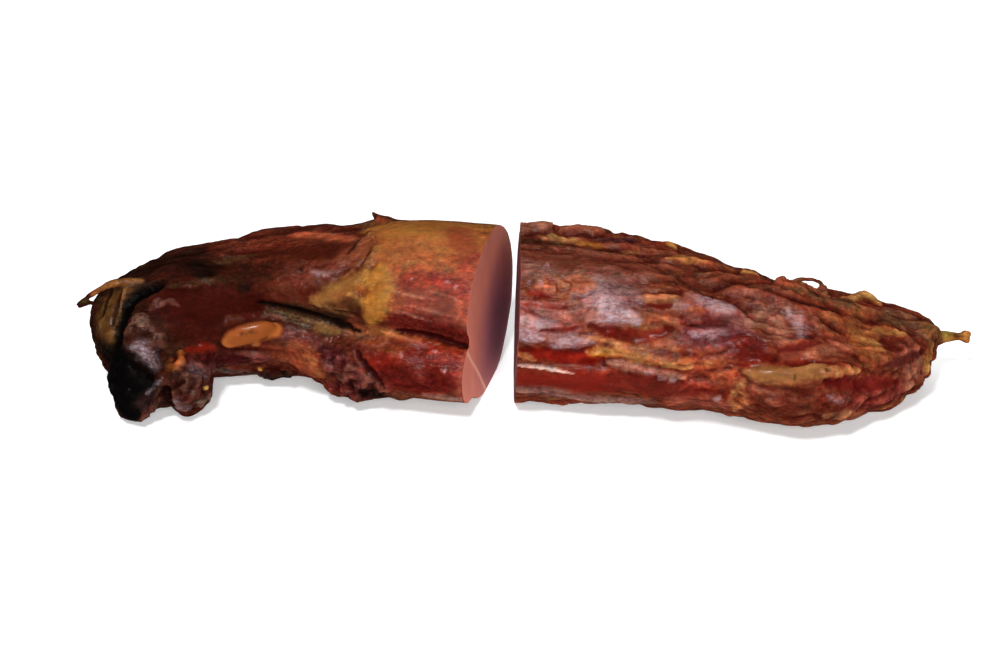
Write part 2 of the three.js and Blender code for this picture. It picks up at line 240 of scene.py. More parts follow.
# The cut's colours, as linear shares of the light, and how far in metres from a point towards the back of the
# cut they change.
# The darkening towards that point is painted shade in the narrow gap between the halves, and the tail's cut
# is painted in the head half's shadow
SALMON = (0.6, 0.185, 0.13)
MAUVE = (0.4, 0.125, 0.14)
DARK_MAUVE = (0.25, 0.09, 0.12)
SHADOWED_MAUVE = (0.16, 0.045, 0.05)
CUT_SHADE_CENTRE = (-0.0097, 0.015, 0.0155)
CUT_SHADE_REACH = (0.034, 0.01)
CUT_MIDDLE = 0.6
CUT_SHINE = 0.35

# The cut's clouds, which make its colours wander, and its fibres
CLOUD_WAVES = (60, 60, 30)
CUT_WANDER = 0.006
FIBRE_WAVES = (260, 260, 150)
FIBRE_DETAIL = 5
FIBRE_SHADE = (0.88, 1.12)
FIBRE_ROUGHNESS = (0.42, 0.58)
FIBRE_DEPTH = 0.0002
FIBRE_STRENGTH = (0.4, 0.8)

# The pale seam across the cut: its slope, its reach in metres, and how much of it shows along that reach
CREAM = (0.85, 0.46, 0.33, 1)
SEAM_SLANT = (0, 1.32, 1)
SEAM_REACH = (-0.004, 0.0068)
SEAM_STOPS = ((0.32, 0.0), (0.5, 0.85), (0.62, 0.0))

# The stage, in metres
FLOOR_HALF_SIDE = 3.0
FLOOR_CORNERS = ((-1, -1, 0), (1, -1, 0), (1, 1, 0), (-1, 1, 0))
FLOOR_GREY = (0.9, 0.9, 0.9, 1)
FLOOR_GLOW = 0.25
FLOOR_ROUGHNESS = 0.8
WHITE = (1, 1, 1, 1)
ROOM_LIGHT = 0.03
LIGHT_AIM = Vector((0, 0, 0.02))

# Square soft lights, their powers in watts: a key light above and in front, and wide ones without highlights
Light = namedtuple("Light", "name place size power colour shines")
COOL = (0.96, 0.98, 1.0)
NEUTRAL = (1, 1, 1)
LIGHTS = (
    Light("key", (-0.16, -0.6, 0.81), 0.14, 8.5, COOL, True),
    Light("over", (0, 0.35, 1.6), 1.8, 13.0, NEUTRAL, False),
    Light("front", (0.2, -1.35, 0.6), 0.8, 20.0, NEUTRAL, False),
    Light("back", (-0.5, 1.3, 0.6), 1.0, 7.0, NEUTRAL, False),
)

Plane = namedtuple("Plane", "point normal")

# A glint is a short line, in pixels, that rises a little to the right
GLINT_HALF_LENGTH = 2
GLINT_RISE = 1

# A mark's path is in pixels, written as x,y after x,y, and its breadth, height and roughness are in
# millimetres. cover is how much of its colour shows, soft the share of its breadth over which it fades,
# ragged how far its edge wanders, gloss what it adds to the meat's gloss, calm how much of the wrinkles
# under it goes, tip how much of its breadth is left at its ends, speckle how far it is broken up into
# specks, and film how much of the pale dried layer with its painted sheen covers it. A mark without a colour
# is relief alone.
MARK_PARTS = "name path breadth colour cover height soft ragged gloss rough calm tip speckle film"
MARK_DEFAULTS = (None, 1.0, 0.0, 0.7, 0.5, 0.0, 0.0, 0.0, 0.35, 0.0, 0.0)
Mark = namedtuple("Mark", MARK_PARTS, defaults=MARK_DEFAULTS)


def pixels(path):
    """A path's points as pairs of numbers."""
    return [tuple(int(part) for part in point.split(",")) for point in path.split()]


def wash(name, path, breadth, colour, cover=0.85, calm=0.0, gloss=0.0):
    """A broad field of colour that fades out at its edges."""
    return Mark(name, path, breadth, colour, cover, soft=1.0, ragged=0.3, tip=0.7, calm=calm, gloss=gloss)


def streak(name, path, breadth, colour, cover=0.7, height=0.25):
    """A thin strand along the fibres."""
    return Mark(name, path, breadth, colour, cover, height, soft=0.7, ragged=0.6, tip=0.15)


def crease(name, path, breadth, colour, depth):
    """A narrow hollow with a colour laid in it: the meat's own in most creases, and painted shade where it is
    near black.
    """
    return Mark(name, path, breadth, colour, 0.9, -depth, soft=0.8, ragged=0.4, calm=0.5, tip=0.25)


def fat(name, path, breadth, colour, height):
    """A smooth and glossy piece of fat that stands proud."""
    return Mark(name, path, breadth, colour, 0.95, height, soft=0.6, ragged=0.4, gloss=0.4, calm=0.8, tip=0.5)


def film(name, path, breadth, cover, height):
    """A pale, crinkled dried layer on a swelling, its lilac partly painted sheen."""
    return Mark(name, path, breadth, LILAC, 0.55 * cover, height, soft=0.9, ragged=0.9, gloss=0.2, rough=0.08,
                speckle=0.65, film=cover)


def sheen(name, path, breadth, colour, cover=0.85):
    """A dry, crackled place, its paleness partly painted sheen."""
    return Mark(name, path, breadth, colour, cover, 0.15, soft=0.6, ragged=0.8, gloss=-0.2, rough=0.12,
                speckle=0.7)


def crag(name, path, breadth, colour, height, rough):
    """A rough lump."""
    return Mark(name, path, breadth, colour, 0.9, height, soft=0.7, ragged=0.8, rough=rough, tip=0.6)


def glints(name, places, breadth=1.8):
    """Small specks painted pale as highlights on wet meat, with added gloss."""
    marks = []
    for x, y in pixels(places):
        path = f"{x - GLINT_HALF_LENGTH},{y} {x + GLINT_HALF_LENGTH},{y - GLINT_RISE}"
        marks.append(Mark(name, path, breadth, LILAC, 0.6, 0.1, soft=0.8, ragged=0.9, gloss=0.3))
    return marks


HEAD_MARKS = [
    # The long muscle
    wash("top of the long muscle", "256,241 290,237 335,234", 9, (112, 46, 26)),
    wash("burnt shoulder", "128,278 160,262 196,252", 11, (34, 15, 9), 0.9),
    wash("burnt back", "188,262 214,268 242,276", 12, (36, 13, 7), 0.9, 0.0, -0.5),
    wash("dark band", "262,255 305,253 350,252", 6, (70, 25, 13), 0.85, 0.5, 0.2),
    wash("middle of the long muscle", "282,277 304,278 334,272", 9, (98, 40, 26)),
    wash("lower side of the long muscle", "278,297 298,300 318,304", 9, (88, 37, 22), 0.9, 0.4, -0.1),
    wash("deep red hollow", "172,306 205,310 258,307", 18, (54, 12, 7), 0.98, 0.5, -0.6),
    wash("orange top edge", "292,233 320,234 350,238", 5, (172, 82, 50), 0.9, 0.4, 0.4),
    wash("end of the long muscle", "344,259 358,250 366,238", 8, (126, 62, 40), 0.9),
    streak("upper olive streak", "213,262 235,258 258,253", 2.6, (66, 46, 26)),
    streak("lower olive streak", "164,286 190,283 212,280 243,277", 2.8, (64, 42, 22)),
    wash("black blotch", "196,265 206,272", 7, (22, 10, 6)),
    wash("black spot", "241,270 244,287", 5, (18, 9, 6)),
    crease("notch at the muscle's end", "346,254 353,246 356,241 364,236", 1.6, (62, 32, 19), 0.55),
    crease("second wrinkle at the end", "360,266 367,257 371,247", 1.4, (66, 28, 17), 0.5),
    Mark("speckled side", "290,271 308,275 335,282", 9, (112, 60, 48), 0.3, ragged=1.0, gloss=0.3,
         rough=0.1),
    wash("dark side", "228,272 250,272 276,266", 8, (58, 22, 13)),
    film("pale glint on the side", "309,272 318,273 330,276", 1.8, 0.4, 0.3),
    streak("tan wisp", "326,292 340,284 354,270", 4, (140, 82, 44), 0.75),
    streak("second tan wisp", "306,300 322,297 340,290", 3, (116, 62, 38)),
    *glints("glint on the burnt back", "334,234", 1.4),
    # The cape of fat by the cut
    wash("ground", "410,244 430,248 462,254", 32, (172, 98, 46), 1.0, 0.5, -0.5),
    wash("top", "374,228 405,226 452,228", 12, (162, 99, 38), 1.0, 0.6),
    wash("left", "386,236 391,256 388,276", 9, (164, 94, 39), 1.0, 0.5),
    wash("middle", "396,256 420,257 440,258", 13, (162, 89, 43), 1.0, 0.4),
    wash("right", "456,230 468,252 462,272", 9, (148, 68, 36), 0.95, 0.6),
    wash("low", "394,298 428,304 462,312", 12, (124, 51, 34), 0.95, 0.4, -0.4),
    wash("orange middle", "402,270 430,272 460,270", 9, (166, 86, 46), 0.8),
    wash("red band", "404,279 430,280 462,281", 6, (142, 49, 29), 0.95),
    wash("by the arm", "390,280 393,298 388,317", 7, (142, 72, 38), 0.8),
    wash("red by the cut", "474,258 465,284 465,318", 7, (160, 66, 43), 0.9),
    wash("red spots", "436,277 450,284 462,292", 6, (146, 46, 31), 0.9),
    # The crimson foot is darkened as painted shade above the groove
    wash("crimson foot", "392,320 430,327 466,337", 9, (96, 23, 18), 0.95),
    Mark("edge", "368,230 375,241 374,254 366,268 350,282 328,294", 2.6, (112, 62, 30), 0.75, 0.5),
    *[streak("pale fibre on the cape", path, 1.2, (160, 100, 80), 0.5) for path in [
        "390,291 414,296 436,300", "402,304 430,311 462,319",
        "426,290 448,296 466,304", "388,310 408,314 434,323"]],
    wash("shade under the olive tip", "356,305 338,308 316,311", 7, (84, 47, 23), 0.9),
    Mark("olive tip", "376,277 352,283 335,291 314,300", 6.4, (138, 89, 42), 0.9, 0.4, 0.9, 0.6, calm=0.7),
    streak("pale line on the olive tip", "374,282 356,291 344,297", 1.2, (176, 128, 66), 0.6, 0.1),
    wash("membrane", "376,272 366,286 368,298", 8, (174, 112, 48), 0.9),
    Mark("yellow arm", "382,268 380,286 376,306 368,322", 8.2, (164, 103, 38), 0.95, 0.5, 0.8, 0.6,
         calm=0.5),
    Mark("arm's foot", "364,318 372,328 388,334 412,340", 3.2, (120, 70, 33), 0.85, 0.3, 0.8, 0.6, calm=0.5),
    *glints("glint on the cape", "447,283 455,288 412,279", 1.4),
    # The groove between the long muscle and the side strip
    Mark("floor of the groove", "268,310 300,319 346,330", 6, (58, 36, 24), 0.85, 0.3, 1.0, 0.9, calm=0.6),
    *[streak("fibre over the groove", path, 1.3, (122, 74, 42), 0.55, 0.2) for path in [
        "306,303 326,307 350,311", "318,309 338,314 356,318", "296,304 312,309 330,315"]],
    wash("shade in the groove", "286,306 318,313 342,319", 4, (30, 17, 10), 0.9, 0.8),
    # The near-black of the groove is painted shade
    crease("groove, left", "256,303 292,309 325,318 360,331", 2.4, (20, 11, 7), 0.6),
    *[streak("olive strand", path, 0.9, (120, 90, 54), 0.55, 0.2) for path in [
        "268,309 300,317 346,330", "277,316 306,321 338,330", "262,312 290,321 328,332"]],
    wash("olive patch", "316,328 326,330 338,332", 2.6, (126, 90, 46), 0.8, 0.6),
    # The dark crimson of the groove here is painted shade
    crease("groove, right", "396,331 426,336 458,344 469,347", 2.4, (50, 8, 8), 1.0),
    streak("amber strand", "380,331 404,337 441,344", 2.4, (168, 100, 50), 0.9, 0.5),
    streak("middle amber strand", "384,336 408,342 432,347", 1.8, (156, 90, 46), 0.85, 0.4),
    # The side strip
    wash("mauve", "284,334 300,338 318,343", 6, (106, 52, 44)),
    wash("orange", "294,352 306,360 316,372", 9, (150, 76, 43), 0.95),
    wash("red", "376,362 420,366 463,371", 17, (112, 27, 16), 0.98, 0.4, 0.0),
    Mark("swelling", "392,352 408,362 422,378", 7, None, 0, 1.0, 1.0),
    Mark("second swelling", "430,352 446,363 458,380", 7, None, 0, 0.9, 1.0),
    wash("amber top", "366,340 384,345 402,351", 4.4, (138, 64, 32)),
    wash("bright end", "430,351 450,353 467,355", 5, (132, 37, 23)),
    wash("deep red", "382,377 412,380 446,384", 9, (84, 21, 16), 0.95),
    wash("by the cut", "468,352 463,374 463,398", 3.5, (152, 68, 54)),
    # The grey of the lower edge is a painted reflection of the pale floor
    wash("grey lower edge", "424,395 444,398 464,401", 3.4, (142, 98, 88)),
    crease("crease", "356,350 367,369 384,388", 2.4, (54, 15, 13), 1.1),
    *glints("glint on the strip", "402,356 434,353 445,370", 1.5),
    crag("crags", "328,360 350,376 378,392", 13, (90, 43, 36), 0.4, 1.0),
    Mark("ragged lower edge", "322,384 348,397 384,400", 5, None, 0, 0.4, 0.8, 1.0, rough=0.8),
    wash("crags, purple", "322,350 338,358", 5, (76, 26, 28), 0.8),
    wash("crags, soot", "336,387 358,394 382,397", 5, (24, 13, 11)),
    wash("crags, red", "330,386 342,390 354,396", 5, (100, 36, 30)),
    crag("burnt knob", "266,372 279,374 290,371", 6, (26, 14, 12), 1.8, 0.6),
    # The lump of fat and what lies round it
    wash("tan over the lump", "228,322 252,319 280,321", 5, (98, 46, 28), 0.65),
    Mark("fat lump", "227,343 240,338 257,333 277,329", 7.6, (146, 76, 31), 0.95, 0.7, 0.5, 0.15, 0.1,
         calm=1.0, tip=0.5),
    *[streak("vein on the lump", path, 1.3, (112, 54, 24), 0.45, 0.0) for path in [
        "232,337 246,332 262,330", "244,345 256,341 268,334"]],
    fat("fat lump's foot", "255,340 257,345", 3, (146, 88, 42), 0.4),
    wash("mauve strip", "188,363 225,361 264,359", 7, (98, 48, 42), 0.9),
    wash("red-brown under the lump", "266,347 276,351 288,358", 6, (118, 52, 29)),
    crag("mauve strip, lower edge", "214,371 242,373 266,375", 4, (88, 60, 54), 0.3, 0.4),
    wash("mauve strip, crimson", "200,358 218,359 244,361", 5.5, (56, 15, 14)),
    Mark("red patch", "186,350 198,348 213,348", 3.4, (118, 25, 12), 0.9, soft=1.0, gloss=0.1, calm=0.4),
    wash("amber between the veins", "166,354 169,364 172,373", 3.4, (112, 60, 22), 0.9),
    Mark("orange vein", "180,351 181,361 174,375", 3.0, (148, 78, 32), 0.9, 0.4, 0.9, 0.4, calm=0.6,
         tip=0.6),
    # The black in the hole is painted shade
    wash("black hole by the veins", "174,378 180,376", 4, (8, 6, 6), 0.95),
    # Two raised folds; their pale pink is partly painted highlight
    streak("first fold", "150,310 157,304 166,302", 3.4, (114, 68, 54), 0.55, 0.35),
    streak("second fold", "160,304 170,302 180,305", 2.4, (88, 42, 31), 0.6, 0.3),
    # The curled end
    wash("cuff", "130,285 112,302 104,322 108,342", 11, (88, 55, 25), 0.95, 0.5),
    streak("cuff, amber top", "116,282 130,280 144,281", 3, (120, 70, 30), 0.85, 0.05),
    streak("cuff, light middle", "110,298 103,316 100,330", 4, (94, 62, 27), 0.75),
    crease("cuff, dark line", "113,287 107,300 101,319", 1.5, (40, 24, 12), 0.5),
    crease("cuff, second dark line", "121,289 116,306 112,326", 1.5, (44, 26, 14), 0.5),
    streak("cuff, amber line", "126,287 121,302 118,318", 1.2, (142, 92, 46), 0.85, 0.3),
    wash("cuff, burnt foot", "100,347 109,357", 6, (20, 12, 9), 0.95),
    crag("end lobe", "134,322 146,334 158,352", 13, (58, 28, 19), 0.7, 0.5),
    sheen("end lobe, top", "132,319 138,317 145,322", 4.4, (116, 76, 58)),
    sheen("end lobe, side", "150,322 158,330 164,340", 4, (92, 50, 38), 0.6),
    film("end lobe, sheen", "138,346 146,355 152,366", 5.6, 0.82, 0.2),
    # The dark beside the slit and the black in it are painted shade
    wash("dark beside the slit", "162,284 142,290 128,303 122,320", 5.5, (24, 12, 8), 0.95),
    crease("slit", "162,286 141,293 128,304 122,318 118,335 116,350 119,362", 4.4, (8, 8, 7), 1.4),
    Mark("black lobe", "113,368 117,388 124,404 136,414", 21, (7, 6, 6), 0.98, 0.5, 0.5, 0.5, 0, 0.4, 0.8,
         0.8),
    crag("low lump", "143,412 155,414", 6.5, (86, 46, 37), 0.8, 0.9),
    wash("dark behind the edge", "140,404 150,398 160,391", 6, (42, 25, 23), 0.9),
    # Painted highlight specks on the edge between the lobes
    film("speckled edge", "146,395 154,386 163,378", 1.5, 0.4, 0.1),
    # The near-black in the crevice is painted shade
    crease("crevice by the edge", "156,399 173,387 186,380", 1.8, (22, 9, 8), 0.9),
    crag("maroon lobe", "178,402 191,394 206,386", 15, (66, 33, 25), 0.6, 0.9),
    # The pale patches on the maroon lobe, low and on top, are partly painted sheen
    film("maroon lobe, low", "174,407 182,410 190,412", 4.6, 0.35, 0.2),
    wash("maroon lobe, tan foot", "196,405 204,403 210,398", 4.0, (110, 83, 68), 0.9),
    film("maroon lobe, pale top", "188,367 198,370 211,375", 5.0, 0.2, 0.2),
    # The near-black in the notch is painted shade
    crease("notch under the lobes", "164,388 168,402 171,417", 3.6, (30, 12, 9), 2.0),
    Mark("ragged foot of the lobes", "140,420 160,414 184,416 206,402", 6, None, 0, 0.0, 0.9, 1.0,
         rough=0.8),
    fat("crumb", "206,388", 1.7, (170, 134, 66), 0.5),
    fat("second crumb", "260,369", 1.9, (166, 112, 48), 0.5),
    Mark("sinew, upper", "78,301 92,289 112,278", 3.5, (136, 82, 36), 1.0),
    Mark("sinew, lower", "80,302 92,299 102,297", 2.2, (70, 56, 26), 0.9),
    Mark("flake", "371,213 373,217 372,221", 3, (66, 46, 36), 0.9),
    Mark("flake, red side", "377,218 383,222", 2.6, (132, 54, 32), 0.9),
]

TAIL_MARKS = [
    # Broad fields
    wash("upper side", "514,252 585,258 650,266 700,282", 12, (110, 53, 37), 0.9, 0.4),
    wash("dark under the strip", "515,245 560,246 610,252 655,258", 5, (72, 32, 20)),
    wash("mauve upper middle", "560,274 595,278 640,286", 9, (126, 72, 58)),
    wash("upper left", "518,262 532,268 547,272", 8, (132, 82, 70)),
    wash("upper right", "672,272 712,277 760,289", 12, (104, 46, 28)),
    wash("tan middle", "642,312 662,318 680,308", 10, (140, 76, 48)),
    wash("tan below the crease", "592,336 628,346 668,350", 8, (150, 80, 50), 0.9),
    wash("purple hollow", "690,340 722,338 756,346", 9, (106, 38, 40), 0.9),
    wash("mottled orange", "676,360 702,366 728,374", 11, (152, 68, 40), 0.95),
    wash("red under the orange", "684,384 706,389 728,394", 5, (112, 32, 20), 0.9),
    wash("lower red", "510,380 565,383 612,386", 10, (118, 29, 19), 0.98, 0.8, 0.38),
    wash("lower red, right", "612,382 645,388 690,396", 9, (98, 29, 20), 0.9, 0.4),
    wash("low red, far right", "674,402 704,404 730,409", 8, (144, 72, 54), 0.9, 0.3),
    wash("brown belly", "766,400 797,410 835,415", 13, (92, 36, 22), 0.95),
    wash("right belly", "846,404 872,402 900,392", 11, (114, 46, 36), 0.9),
    wash("right middle", "752,300 785,312 815,322", 13, (134, 68, 48), 0.9),
    wash("red fold", "790,356 818,350 850,344", 9, (132, 58, 40), 0.9, 0.3),
    wash("orange lumps", "826,314 842,318 856,322", 7, (142, 70, 40), 0.9),
    wash("brown end", "884,310 904,319 922,331", 9, (128, 82, 57), 0.95),
    wash("maroon end", "906,356 918,362 912,380", 11, (142, 80, 60), 0.95),
    Mark("crinkled end", "892,362 908,362 922,356", 13, None, 0, 0.0, 0.8, 0.8, rough=0.12),
    # The strip along the top
    Mark("filled step under the strip", "514,244 556,247 600,254 645,258", 4, None, 0, 1.1, 1.0, 0.3),
    Mark("top strip", "514,231 560,232 600,237 650,243", 6, (108, 50, 34), 0.9, 0.2, 0.5, 0.7, rough=0.3),
    Mark("raised start of the strip", "516,228 536,226 551,226", 4, (114, 64, 47), 0.85, 1.5, 0.4, 0.3,
         rough=0.2),
    crag("second rise of the strip", "560,230 580,228 600,231", 4, (122, 62, 42), 0.8, 0.3),
    crease("step in the strip", "556,226 557,231", 2.0, (128, 66, 34), 1.2),
    # The dark line under the strip is painted shade
    wash("dark line under the strip", "515,239 540,239 560,241", 2.4, (58, 36, 24), 0.9),
    streak("tan line under the strip", "600,251 620,252 646,250", 2, (142, 90, 50), 0.8),
    wash("red-brown by the strip's end", "642,249 650,249 660,250", 4, (142, 70, 46), 0.9),
    wash("amber by the step", "544,235 556,235 574,238", 4.6, (164, 108, 60), 0.95),
    wash("amber in the strip", "578,243 588,243 600,245", 3, (176, 104, 36), 0.9),
    crag("dark stretch of the strip", "602,239 620,240 640,240", 4, (70, 32, 32), 0.4, 0.4),
    wash("red stretch of the strip", "645,240 655,241 664,242", 3.4, (168, 58, 34), 0.95),
    fat("yellow end of the strip", "668,242 675,247", 3.0, (172, 116, 50), 0.5),
    streak("amber streak, upper right", "668,257 686,259 706,263", 4, (160, 96, 48), 0.85),
    fat("yellow spot, upper right", "744,271 756,274", 3.6, (180, 120, 58), 0.4),
    # Swellings and folds
    Mark("left swelling", "513,324 546,328 576,337", 9, (134, 66, 58), 0.8, 1.1, 1.0, 0.6),
    Mark("middle swelling", "598,303 614,308 630,315", 11, (132, 70, 60), 0.8, 1.2, 1.0, 0.6),
    Mark("right swelling", "692,298 718,305 744,316", 8, (114, 60, 55), 0.8, 1.3, 1.0, 0.6),
    # The pale lilac on these swellings is partly painted sheen
    film("film on the middle swelling", "593,300 606,309 619,320", 9.4, 1.0, 0.2),
    film("upper film on the middle swelling", "584,283 606,289 638,298", 7, 0.32, 0.2),
    film("film over the crease", "626,315 632,319 638,325", 3.6, 0.8, 0.2),
    # The paleness of the left swelling is painted sheen
    wash("pale left swelling", "513,316 540,321 568,331", 9, (156, 98, 90), 0.4),
    film("film on the left swelling", "522,317 540,321 557,327", 4.6, 0.75, 0.3),
    film("lower film on the left swelling", "514,333 528,335 542,338", 4.4, 0.85, 0.3),
    film("film at the left swelling's end", "552,346 568,343 588,343", 5, 0.8, 0.3),
    film("film on the right swelling", "694,298 710,304 734,312", 5, 0.68, 0.3),
    film("film by the bump", "672,304 680,305 688,309", 3, 0.5, 0.2),
    film("film under the right swelling", "690,335 708,331 732,329", 3.6, 0.6, 0.4),
    film("film by the knot", "572,291 588,289 606,292", 5.5, 0.65, 0.2),
    wash("pink by the cut", "512,299 524,306 540,311", 6, (168, 98, 84), 0.95),
    wash("pink over the left swelling", "548,312 570,310 592,312", 7, (142, 80, 66)),
    crease("crease over the left swelling", "514,303 545,305 572,308", 1.8, (138, 48, 32), 0.5),
    crease("crease between the films", "540,330 560,330 580,328", 1.8, (126, 44, 34), 0.5),
    crease("crimson crease", "588,326 612,333 640,338 658,334 672,328", 3.6, (130, 40, 24), 1.1),
    Mark("purple crease", "684,318 712,322 746,332", 5, (122, 58, 56), 0.6, -0.7, 1.0, 0.6),
    Mark("tan bump", "644,295 660,295 674,298", 6.5, (150, 86, 50), 0.8, 0.6, 1.0, 0.8),
    crease("shade under the bump", "648,303 661,306 673,304", 2.4, (124, 34, 20), 0.6),
    wash("knot", "541,284 560,286 588,284", 7, (158, 86, 52), 0.9),
    *[crag("knot's lump", place, 3.4, (160, 96, 66), 0.5, 0.1)
      for place in ("541,283", "552,288", "566,284", "580,287")],
    crease("knot's first vein", "546,277 555,280 557,289 553,296", 1.1, (110, 32, 20), 0.4),
    crease("knot's second vein", "563,279 571,283 570,290", 1.1, (112, 34, 21), 0.35),
    crease("red hollow by the knot", "527,292 540,293 552,296", 2.4, (140, 42, 26), 0.6),
    crease("red valley", "511,351 550,356 585,361 604,360", 4.6, (134, 23, 11), 0.8),
    streak("amber thread", "586,338 616,342 646,350", 2, (164, 98, 54), 0.5, 0.4),
    wash("orange by the strand", "590,354 604,355 618,355", 4, (186, 94, 30), 0.9),
    Mark("yellow strand", "588,352 614,353 641,359 690,368", 4.6, (160, 102, 54), 0.8, 0.7, 1.0, 0.8,
         tip=0.1),
    Mark("amber stub", "512,356 524,357 535,361", 2.2, (160, 94, 52), 0.85, 0.4, 0.6, 0.4),
    # The thin ridge's near-white is a painted highlight, and the mauve ridge's paleness is partly one
    Mark("thin ridge", "512,366 545,368 574,374", 1.3, (208, 170, 160), 0.8, 0.7, 0.7, 0.4, 0.3, tip=0.1),
    Mark("mauve ridge", "606,364 640,369 686,379", 3.2, (156, 98, 82), 0.85, 0.6, 0.8, 0.6, 0.4),
    # The grey of the lower edge is a painted reflection of the pale floor
    wash("grey lower edge", "511,391 575,397 650,405", 7, (132, 90, 82)),
    *glints("glint on the tail", "541,282 530,284 547,265 662,380 672,382 650,373 714,401 718,399 690,352",
            2.2),
    *[crag("lump in the mottled orange", place, 3.0, colour, 0.5, 0.2) for place, colour in (
        ("684,360", (176, 100, 52)), ("696,372", (130, 44, 28)), ("708,364", (170, 96, 52)),
        ("718,374", (150, 74, 44)), ("690,380", (136, 50, 32)), ("704,384", (122, 40, 26)),
        ("676,352", (160, 90, 52)))],
    Mark("diagonal valley", "640,256 690,282 735,298 772,322", 7, (104, 48, 34), 0.4, -0.8, 1.0, 0.8),
    Mark("amber patch, low", "743,380 739,395 735,411", 6, (160, 98, 56), 0.9, 0.3, 1.0, 0.9),
    # The fat pad and the end
    wash("dark red before the fold", "738,344 750,356 768,362", 8, (94, 22, 14), 1.0, 0.3, 0.1),
    wash("tan between the folds", "760,316 775,321 786,334", 9, (172, 106, 81), 1.0),
    wash("pale by the valley", "744,316 754,322", 5, (138, 82, 74), 0.7),
    wash("brown under the band", "756,302 780,304 802,308", 7, (102, 46, 31), 1.0),
    crease("crease over the pad", "728,364 756,366 784,365 812,362 838,362", 2.2, (146, 50, 30), 0.8),
    crease("crease in the red fold", "778,351 792,348 806,345 822,341", 2.6, (108, 36, 27), 0.5),
    Mark("fat pad", "742,371 757,373 776,375 800,374 830,371", 6.2, (136, 87, 46), 0.95, 0.55, 0.8, 0.5,
         0.0, calm=0.7, tip=0.2),
    Mark("fat pad's tip", "822,372 842,371 860,371", 3.6, (154, 94, 53), 0.85, 0.4, 0.9, 0.8, tip=0.1),
    Mark("first speck", "794,375 794,380", 1.0, (62, 46, 20), 0.9),
    Mark("second speck", "825,371 826,372", 1.2, (40, 30, 14), 0.9),
    crease("crimson under the pad", "824,382 858,385 902,383", 4.4, (112, 28, 22), 0.9),
    Mark("swelling over the fold", "808,355 824,350 850,347", 5, (152, 80, 56), 0.85, 0.6, 0.9),
    film("film, right middle", "788,312 798,320 804,336", 4.4, 0.5, 0.4),
    Mark("tan patch", "858,337 866,341 876,344", 11, (160, 92, 47), 0.95, 0.5, 0.8, 0.7),
    crease("wrinkle in the tan patch", "846,338 860,333 880,337", 1.8, (138, 70, 37), 0.3),
    crease("red hollow by the tan patch", "882,338 893,346 904,349", 5, (98, 32, 22), 0.7),
    Mark("olive band", "768,284 800,293 846,303 880,314 930,331", 5.2, (92, 54, 33), 0.85, 0.5, 0.9, 0.7),
    wash("tan on the band", "806,288 820,291 836,294", 5, (188, 122, 77), 0.95),
    crease("line under the band", "786,299 814,306 842,311", 2.2, (78, 36, 22), 0.35),
    Mark("fat flap", "845,299 862,298 882,304", 5, (170, 118, 61), 0.9, 1.2, 0.7, 0.7, rough=0.15),
    Mark("strands under the thread", "780,286 798,287 812,289", 6, (136, 58, 34), 0.85, 1.5, 0.7, 0.8,
         rough=0.2),
    Mark("arch thread", "776,283 804,281 820,283 829,295", 3, (96, 52, 28), 0.85, 0.9),
    wash("light brown by the end", "860,308 862,336 868,362", 8, (170, 100, 52), 0.4),
    crease("wrinkle at the end", "886,366 906,360 926,350", 3.4, (88, 34, 27), 0.4),
    streak("amber rim of the end", "931,340 930,360 926,378", 5, (150, 96, 48), 0.9),
    streak("amber ridge by the end", "868,330 886,330 906,335", 3.4, (156, 92, 46), 0.9),
    film("gloss on the belly", "830,397 837,400 844,403", 2.4, 0.35, 0.2),
    streak("amber lower edge", "824,417 842,416 866,415", 4.6, (140, 86, 54)),
    wash("tan under the pad", "752,384 764,388 780,391", 4.4, (136, 72, 46), 0.75),
    Mark("sinew's root", "920,328 934,333 946,336", 7, (108, 67, 34), 0.85, 1.8, 1.0, 0.3, tip=0.5),
    Mark("tip", "938,334 948,335 960,337", 5, (148, 98, 40), 0.95),
    Mark("knob", "966,337 969,339", 5, (174, 112, 46), 1.0),
]


# Noise by rule

RANDOM = np.random.default_rng(SEED)
SHUFFLE = RANDOM.permutation(LATTICE)
GRADIENTS = RANDOM.normal(size=(LATTICE, 3))
GRADIENTS /= np.linalg.norm(GRADIENTS, axis=1)[:, None]


def noise(points, wavelength, shift=0.0):
    """Smooth noise from about -1 to 1. The wavelength is one length, or one for each axis."""
    scaled = points / np.asarray(wavelength, float) + shift
    cell = np.floor(scaled).astype(int)
    inside = scaled - cell
    fade = inside ** 3 * (inside * (inside * 6 - 15) + 10)
    total = np.zeros(len(points))
    for corner in itertools.product((0, 1), repeat=3):
        place = np.zeros(len(points), int)
        for axis in range(3):
            place = SHUFFLE[(place + cell[:, axis] + corner[axis]) % LATTICE]
        weight = np.prod(np.where(corner, fade, 1 - fade), axis=1)
        total += weight * np.einsum("ij,ij->i", GRADIENTS[place], inside - np.array(corner))
    return total * NOISE_GAIN


def layered(points, layers, phase=1.0):
    """Noises added up. Each layer is an amount, a wavelength and a shift, which the phase multiplies."""
    return sum(amount * noise(points, wavelength, phase * shift) for amount, wavelength, shift in layers)


def creases(points, wavelength, shift=0.0):
    """Rounded lumps with narrow creases between them, from about -1 in a crease to 1."""
    height = np.sqrt(noise(points, wavelength, shift) ** 2 + CREASE_ROUNDING ** 2) - CREASE_ROUNDING
    return 2 * np.minimum(height * CREASE_GAIN, 1) - 1


def stray(points, wavelength, amount, shift):
    """A small random move for each point, alike for points close together."""
    moves = [noise(points, wavelength, shift * STRAY_SHIFT + AXIS_SHIFT * axis) for axis in range(3)]
    return amount * np.stack(moves, axis=1)


def along(points):
    """Points with the wander of the muscle's fibres taken out, so that noise on them follows the fibres."""
    return points + sum(stray(points, *wander) for wander in FIBRE_WANDER)


def smoothstep(low, high, value):
    """0 below low, 1 above high, and a smooth rise between. From a high to a low value it falls instead."""
    part = np.clip((value - low) / (high - low), 0, 1)
    return part * part * (3 - 2 * part)


